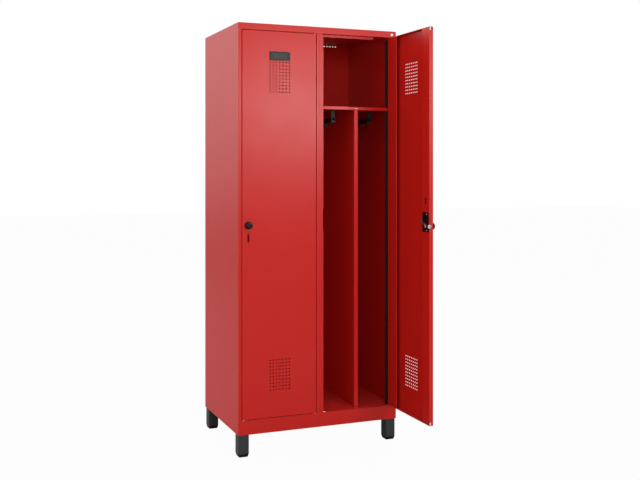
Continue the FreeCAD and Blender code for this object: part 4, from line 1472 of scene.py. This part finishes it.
@dataclass
class Lock(Door):
    """The turn-knob lock of a door: knob, spindle, lever, case, side bolt and screws."""

    knob_clear: float = 0.5 * MM
    flutes: int = 12
    bend: tuple[float, float, float] = (6.0 * MM, 36.0 * MM, 27.0 * MM)
    strip: float = 6.0 * MM
    hub: float = 8.0 * MM
    sweep: float = 100.0
    shaft: float = 4.0 * MM
    disc: tuple[float, float] = (1.0 * MM, 3.0 * MM)
    head: tuple[float, float] = (5.5 * MM, 2.4 * MM)
    driver: tuple[float, float, float] = (7.0 * MM, 0.8 * MM, 1.2 * MM)
    seat: tuple[float, float, float, float] = (9.0 * MM, 3.0 * MM, 4.0 * MM, 0.7 * MM)

    def build(self) -> None:
        """Build the lock of the left door and copy it to the right."""
        self.dress_pair(self.case(), "lock_case", Slot.BLACK_PLASTIC)
        self.dress_pair(self.screws(), "lock_screws", Slot.ZINC)
        self.dress_pair(self.knob(), "knob", Slot.BLACK_PLASTIC, "knob")
        self.dress_pair(self.spindle(), "knob_spindle", Slot.ZINC, "knob")
        self.dress_pair(self.lever(), "lock_cam", Slot.ZINC, "knob")
        self.dress_pair(self.bolt(), "latch_bolt", Slot.ZINC, "latch_bolt")

    def knob(self) -> bpy.types.Object:
        """Spin the knob from its outline and press finger flutes into its waist."""
        low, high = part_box("left_knob")
        x, z = self.axis
        radius, height = (high.x - low.x) / 2, high.y - self.knob_clear - low.y
        back = Vector((x, high.y - self.knob_clear, z))
        body = Bench.bar("left_knob_made", radius, back, back - Vector((0, height * 0.16, 0)), 48)
        steps = ((0.86, 0.10), (0.84, 0.40), (0.90, 0.16), (0.74, 0.13), (0.45, 0.05))
        with Bench.editing(body):
            Bench.pick_faces(body, lambda place, normal: normal.y < -0.9)
            width, done = 1.0, 0.16
            for share, rise in steps:
                step = Vector((0.0, -height * min(rise, 1.0 - done), 0.0))
                bpy.ops.mesh.extrude_region_move(TRANSFORM_OT_translate={"value": step})
                scale = share / width
                bpy.ops.transform.resize(value=(scale, 1.0, scale), center_override=(x, low.y, z))
                width, done = share, done + rise
        Bench.soften(body, 0.8 * MM, 3, 25.0)
        cutters = []
        for n in range(self.flutes):
            angle = 2 * math.pi * (n + 0.5) / self.flutes
            spot = (x + radius * math.cos(angle), z + radius * math.sin(angle))
            cutters += level_holes(radius * 0.17, [spot], (low.y + height * 0.12, high.y - height * 0.20), 16)
        return Bench.soften(Bench.cut(body, cutters), 0.3 * MM, 2, 50.0)

    def spindle(self) -> bpy.types.Object:
        """Model the spindle with its drive disc and its riveted head."""
        low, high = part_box("left_knob_spindle")
        x, z = self.axis
        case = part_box("left_lock_case")
        disc_radius = (high.x - low.x) / 2
        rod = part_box("left_upper_rod")
        disc_y = (rod[0].y + rod[1].y) / 2 + self.disc[0]
        end = Vector((x, high.y, z))
        shaft = Bench.bar("left_knob_spindle_made", self.shaft, Vector((x, low.y, z)), end, 24)
        disc = Bench.bar("disc", disc_radius, Vector((x, disc_y, z)),
                         Vector((x, disc_y + self.disc[1], z)), 32)
        head = Bench.bar("head", self.head[0], Vector((x, case[1].y + self.head[1], z)), end, 32)
        Bench.soften(head, 0.7 * MM, 3)
        slot = Bench.block("cutter", about(x, self.driver[0]), (high.y - self.driver[1], high.y + MM),
                           about(z, self.driver[2]))
        Bench.cut(head, [slot])
        return Bench.join("left_knob_spindle_made", [shaft, Bench.soften(disc, 0.3 * MM), head])

    def lever(self) -> bpy.types.Object:
        """Spin the curved lever round the middle of its bend, and add its hub and tip."""
        low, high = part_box("left_lock_cam")
        x, z = self.axis
        bend_x, bend_z, bend = x + self.bend[0], z + self.bend[1], self.bend[2]
        middle = (low.y + high.y) / 2
        bpy.ops.object.select_all(action="DESELECT")
        bpy.ops.mesh.primitive_plane_add(size=1.0, location=(bend_x + bend, middle, bend_z))
        bpy.context.active_object.scale = (self.strip, high.y - low.y, 1.0)
        arc = Bench.settle("arc")
        with Bench.editing(arc):
            bpy.ops.mesh.select_all(action="SELECT")
            bpy.ops.mesh.spin(steps=16, angle=-math.radians(self.sweep),
                              center=(bend_x, middle, bend_z), axis=(0, 1, 0))
            bpy.ops.mesh.select_all(action="SELECT")
            bpy.ops.mesh.normals_make_consistent(inside=False)
        hub = Bench.bar("hub", self.hub, Vector((x, low.y, z)), Vector((x, high.y, z)), 32)
        tip = Bench.bar("tip", self.strip / 2, Vector((bend_x + bend, low.y, bend_z)),
                        Vector((bend_x + bend, high.y, bend_z)), 24)
        return Bench.soften(Bench.join("left_lock_cam_made", [arc, hub, tip]), 0.25 * MM)

    def case(self) -> bpy.types.Object:
        """Model the lock case: a plate with a raised rim round the lever's travel and two screw seats."""
        low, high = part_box("left_lock_case")
        x, z = self.axis
        case = Bench.block("left_lock_case_made", *spans(low, high))
        Bench.round_edges(case, 2.5 * MM, along_y, 4)
        radius = self.bolt_radius + self.bolt_clear / 2
        recess = Bench.bar("cutter", radius, Vector((low.x - MM, self.bolt_y, z)),
                           Vector((self.bolt_end + self.bolt_clear, self.bolt_y, z)))
        Bench.cut(case, [recess])
        Bench.cut(case, level_holes(self.spindle_hole, [self.axis], (low.y - MM, high.y + MM)))
        beside, edge, border, depth = self.seat
        field = Bench.block("cutter", (x + beside, high.x - edge), (high.y - depth, high.y + MM),
                            (z + border, high.z - border))
        Bench.cut(case, [field])
        return Bench.soften(case, 0.5 * MM, 2, 50.0)

    def screws(self) -> bpy.types.Object:
        """Model the two screws of the case."""
        low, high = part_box("left_lock_screws")
        radius = (high.x - low.x) / 2
        centre = low.x + radius
        screw = Screw(radius, high.y - low.y)
        heads = [screw.build("screw", Vector((centre, low.y, z)), Vector((0.0, 1.0, 0.0)))
                 for z in (low.z + radius, high.z - radius)]
        return Bench.join("left_lock_screws_made", heads)

    def bolt(self) -> bpy.types.Object:
        """Model the round side bolt with a chamfered nose and a dimple."""
        low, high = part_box("left_latch_bolt")
        z = self.axis[1]
        nose = Vector((low.x, self.bolt_y, z))
        bolt = Bench.bar("left_latch_bolt_made", self.bolt_radius, Vector((high.x, self.bolt_y, z)), nose, 32)
        Bench.round_edges(bolt, 0.9 * MM, lambda a, b: near(a.x, low.x) and near(b.x, low.x), 3)
        dimple = Bench.bar("cutter", 2.0 * MM, nose - Vector((MM, 0, 0)), nose + Vector((0.8 * MM, 0, 0)), 20)
        return Bench.soften(Bench.cut(bolt, [dimple]), 0.3 * MM, 2, 50.0)


# ------------------------------------------------------------------ underframe


@dataclass
class Underframe(Assembly):
    """The four legs with their tapered feet."""

    layout: Layout
    corner: float = 6.0 * MM
    foot_height: float = 14.0 * MM
    taper: float = 4.0 * MM
    plate: float = 3.0 * MM
    names: tuple[str, ...] = ("front_left_leg", "front_right_leg", "rear_left_leg", "rear_right_leg")

    def build(self) -> None:
        """Model the front left leg and foot, and copy them to the other corners."""
        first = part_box(self.names[0])
        leg, foot = self.leg(first), self.foot(first)
        feet = [foot]
        for name in self.names[1:]:
            move = Matrix.Translation(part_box(name)[0] - first[0])
            self.dress(Bench.copy(leg, name + "_made", move), Slot.ANTHRACITE, "root", [name])
            feet.append(Bench.copy(foot, "foot_copy", move))
        self.dress(leg, Slot.ANTHRACITE, "root", [self.names[0]])
        self.dress(Bench.join("foot_caps_set", feet), Slot.BLACK_PLASTIC, "root", ["foot_caps"])

    def leg(self, box: tuple[Vector, Vector]) -> bpy.types.Object:
        """Model a square tube with round corners, open at the foot, and a plate on top.

        Args:
            box: Lowest and highest corner of the leg.

        Returns:
            The leg.
        """
        low, high = box
        tube = Bench.block(self.names[0] + "_made", (low.x, high.x), (low.y, high.y),
                           (low.z, high.z - self.plate))
        Bench.round_edges(tube, self.corner, along_z, 6)
        with Bench.editing(tube):
            Bench.pick_faces(tube, lambda _, normal: normal.z < -0.5)
            bpy.ops.mesh.inset(thickness=2.0 * MM)
            bpy.ops.mesh.extrude_region_move(
                TRANSFORM_OT_translate={"value": (0.0, 0.0, high.z - low.z - 3 * self.plate)})
        plate = Bench.block("plate", (low.x, high.x), (low.y, high.y), (high.z - self.plate, high.z))
        Bench.round_edges(plate, self.corner, along_z, 6)
        return Bench.soften(Bench.join(self.names[0] + "_made", [tube, plate]), 0.3 * MM)

    def foot(self, box: tuple[Vector, Vector]) -> bpy.types.Object:
        """Model the tapered plastic foot under a leg.

        Args:
            box: Lowest and highest corner of the leg.

        Returns:
            The foot.
        """
        low, high = box
        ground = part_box("foot_caps")[0].z
        foot = Bench.block("foot", (low.x, high.x), (low.y, high.y), (ground, ground + self.foot_height))
        Bench.round_edges(foot, self.corner, along_z, 6)
        centre = (low + high) / 2
        share = 1.0 - 2 * self.taper / (high.x - low.x)
        with Bench.editing(foot):
            Bench.pick_faces(foot, lambda _, normal: normal.z < -0.5)
            bpy.ops.transform.resize(value=(share, share, 1.0), center_override=(centre.x, centre.y, ground))
        return Bench.soften(foot, 0.6 * MM, 2)


@dataclass
class Hardware(Assembly):
    """Small fixings of the frame, and the CAD pieces whose shape is already right."""

    washer_bore: float = 3.1 * MM
    kept: tuple[tuple[str, Slot], ...] = (
        ("base_frame", Slot.RED), ("leg_bolts", Slot.ZINC), ("hinge_brackets", Slot.ZINC),
        ("left_hinge_pins", Slot.ZINC), ("right_hinge_pins", Slot.ZINC),
        ("left_upper_rod", Slot.ZINC), ("right_upper_rod", Slot.ZINC),
        ("left_lower_rod", Slot.ZINC), ("right_lower_rod", Slot.ZINC))

    def build(self) -> None:
        """Model the visible fixings and finish the kept nodes."""
        self.head_screw()
        self.washers()
        for name, slot in self.kept:
            node = frame["nodes"][name]
            node.data.materials.clear()
            node.data.materials.append(MATERIALS[slot])
            log.info("%s: kept from the frame, %s", name, slot.value)

    def head_screw(self) -> None:
        """Model the screw on the frame head over the right door's pivot."""
        low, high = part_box("hinge_screw")
        centre = Vector(((low.x + high.x) / 2, high.y, (low.z + high.z) / 2))
        screw = Screw((high.x - low.x) / 2, high.y - low.y).build(
            "hinge_screw_head", centre, Vector((0.0, -1.0, 0.0)))
        self.dress(screw, Slot.ZINC, "root", ["hinge_screw"])

    def washers(self) -> None:
        """Model the washers that the doors run on."""
        low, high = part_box("hinge_washers")
        joints = {joint["name"]: joint["pos_m"] for joint in frame["joints"] if "pos_m" in joint}
        rings = []
        for side in SIDES:
            x, y, _ = joints[side + "_door"]
            outer = high.x - joints["right_door"][0]
            ring = Bench.bar("ring", outer, Vector((x, y, low.z)), Vector((x, y, high.z)), 32)
            Bench.cut(ring, upright_holes(self.washer_bore, [(x, y)], (low.z - MM, high.z + MM)))
            rings.append(Bench.soften(ring, 0.3 * MM))
        self.dress(Bench.join("hinge_washers_set", rings), Slot.ZINC, "root", ["hinge_washers"])


# ------------------------------------------------------------------ studio


@dataclass(frozen=True)
class SoftBox:
    """A square studio light: where it hangs, what it points at, its size and its power."""

    name: str
    place: Colour
    target: Colour
    size: Pair
    power: float


@dataclass
class Studio:
    """Pale floor, soft light and the camera."""

    eye: Colour = (-1.6489, -3.7979, 1.2943)
    heading: float = 19.82
    focal: float = 842.03
    centre: Pair = (244.6, 168.68)
    image: tuple[int, int] = (640, 480)
    sensor: float = 36.0
    floor_size: float = 40.0
    boxes: tuple[SoftBox, ...] = (
        SoftBox("key", (1.70, -4.3, 1.96), (-0.1, -0.25, 1.50), (1.5, 0.60), 50.0),
        SoftBox("front_fill", (-1.2, -4.8, 2.1), (0.1, 0.0, 1.2), (2.0, 1.4), 45.0),
        SoftBox("overhead", (0.0, -1.2, 4.2), (0.0, -0.4, 0.0), (4.0, 3.0), 60.0),
        SoftBox("left_wall", (-4.6, 4.2, 2.4), (-0.4, 0.0, 1.4), (2.6, 2.0), 72.0),
        SoftBox("left_fill", (-4.4, -2.2, 1.1), (0.2, -0.4, 0.9), (2.0, 1.4), 20.0),
    )

    def build(self) -> None:
        """Set up the floor, the lights, the backdrop and the camera."""
        self.floor()
        self.backdrop()
        for box in self.boxes:
            self.light(box)
        self.camera()
        bpy.context.scene.view_settings.view_transform = "Standard"

    def floor(self) -> None:
        """Lay a pale floor that fades into the backdrop."""
        bpy.ops.object.select_all(action="DESELECT")
        bpy.ops.mesh.primitive_plane_add(size=self.floor_size)
        floor = bpy.context.active_object
        floor.name = "studio_floor"
        material = bpy.data.materials.new("studio_floor")
        material.use_nodes = True
        sheet = NodeSheet(material.node_tree)
        material.node_tree.nodes.clear()
        matt = sheet.add("ShaderNodeBsdfDiffuse")
        matt.inputs["Color"].default_value = (0.48, 0.48, 0.48, 1.0)
        glow = sheet.add("ShaderNodeEmission")
        path = sheet.add("ShaderNodeLightPath")
        mix = sheet.add("ShaderNodeMixShader")
        share = sheet.maths("MULTIPLY", path.outputs["Is Camera Ray"], 0.97)
        sheet.link(share, mix.inputs[0])
        sheet.link(matt.outputs[0], mix.inputs[1])
        sheet.link(glow.outputs[0], mix.inputs[2])
        output = sheet.add("ShaderNodeOutputMaterial")
        sheet.link(mix.outputs[0], output.inputs["Surface"])
        floor.data.materials.append(material)

    def backdrop(self) -> None:
        """White behind the locker, and dimmer on the camera's side."""
        world = bpy.data.worlds.new("studio")
        bpy.context.scene.world = world
        world.use_nodes = True
        world.node_tree.nodes.clear()
        sheet = NodeSheet(world.node_tree)
        direction = sheet.add("ShaderNodeTexCoord").outputs["Generated"]
        split = sheet.add("ShaderNodeSeparateXYZ")
        sheet.link(direction, split.inputs[0])
        towards_back = sheet.maths("MULTIPLY", sheet.maths("ADD", split.outputs["Y"], 0.35), 0.9, clamp=True)
        high = sheet.maths("MULTIPLY", sheet.maths("ADD", split.outputs["Z"], 0.25), 1.6, clamp=True)
        glow = sheet.maths("MULTIPLY", sheet.maths("MULTIPLY", towards_back, high), 1.05)
        strength = sheet.maths("ADD", glow, 0.27)
        path = sheet.add("ShaderNodeLightPath")
        seen = sheet.maths("MAXIMUM", path.outputs["Is Camera Ray"], strength)
        light = sheet.add("ShaderNodeBackground")
        light.inputs["Color"].default_value = (1.0, 1.0, 1.0, 1.0)
        sheet.link(seen, light.inputs["Strength"])
        output = sheet.add("ShaderNodeOutputWorld")
        sheet.link(light.outputs[0], output.inputs["Surface"])

    def light(self, box: SoftBox) -> None:
        """Hang a soft box.

        Args:
            box: The light.
        """
        data = bpy.data.lights.new(box.name, "AREA")
        data.shape = "RECTANGLE"
        data.size, data.size_y = box.size
        data.energy = box.power
        lamp = bpy.data.objects.new(box.name, data)
        lamp.location = box.place
        aim = Vector(box.target) - Vector(box.place)
        lamp.rotation_euler = aim.to_track_quat("-Z", "Y").to_euler()
        bpy.context.scene.collection.objects.link(lamp)

    def camera(self) -> None:
        """Stand the camera level, with its lens shifted instead of tilted."""
        data = bpy.data.cameras.new("camera")
        width, height = self.image
        data.sensor_width = self.sensor
        data.lens = self.focal * self.sensor / width
        data.shift_x = (width / 2 - self.centre[0]) / width
        data.shift_y = (self.centre[1] - height / 2) / width
        camera = bpy.data.objects.new("camera", data)
        camera.location = self.eye
        camera.rotation_euler = (math.radians(90.0), 0.0, -math.radians(self.heading))
        bpy.context.scene.collection.objects.link(camera)
        bpy.context.scene.camera = camera


def main() -> None:
    """Build the locker and its studio."""
    layout = Layout()
    for assembly in (Carcass(layout), Interior(layout), Door(layout), Lock(layout), Underframe(layout),
                     Hardware(), Studio()):
        log.info("building %s", type(assembly).__name__)
        assembly.build()


if __name__ == "__main__":
    main()
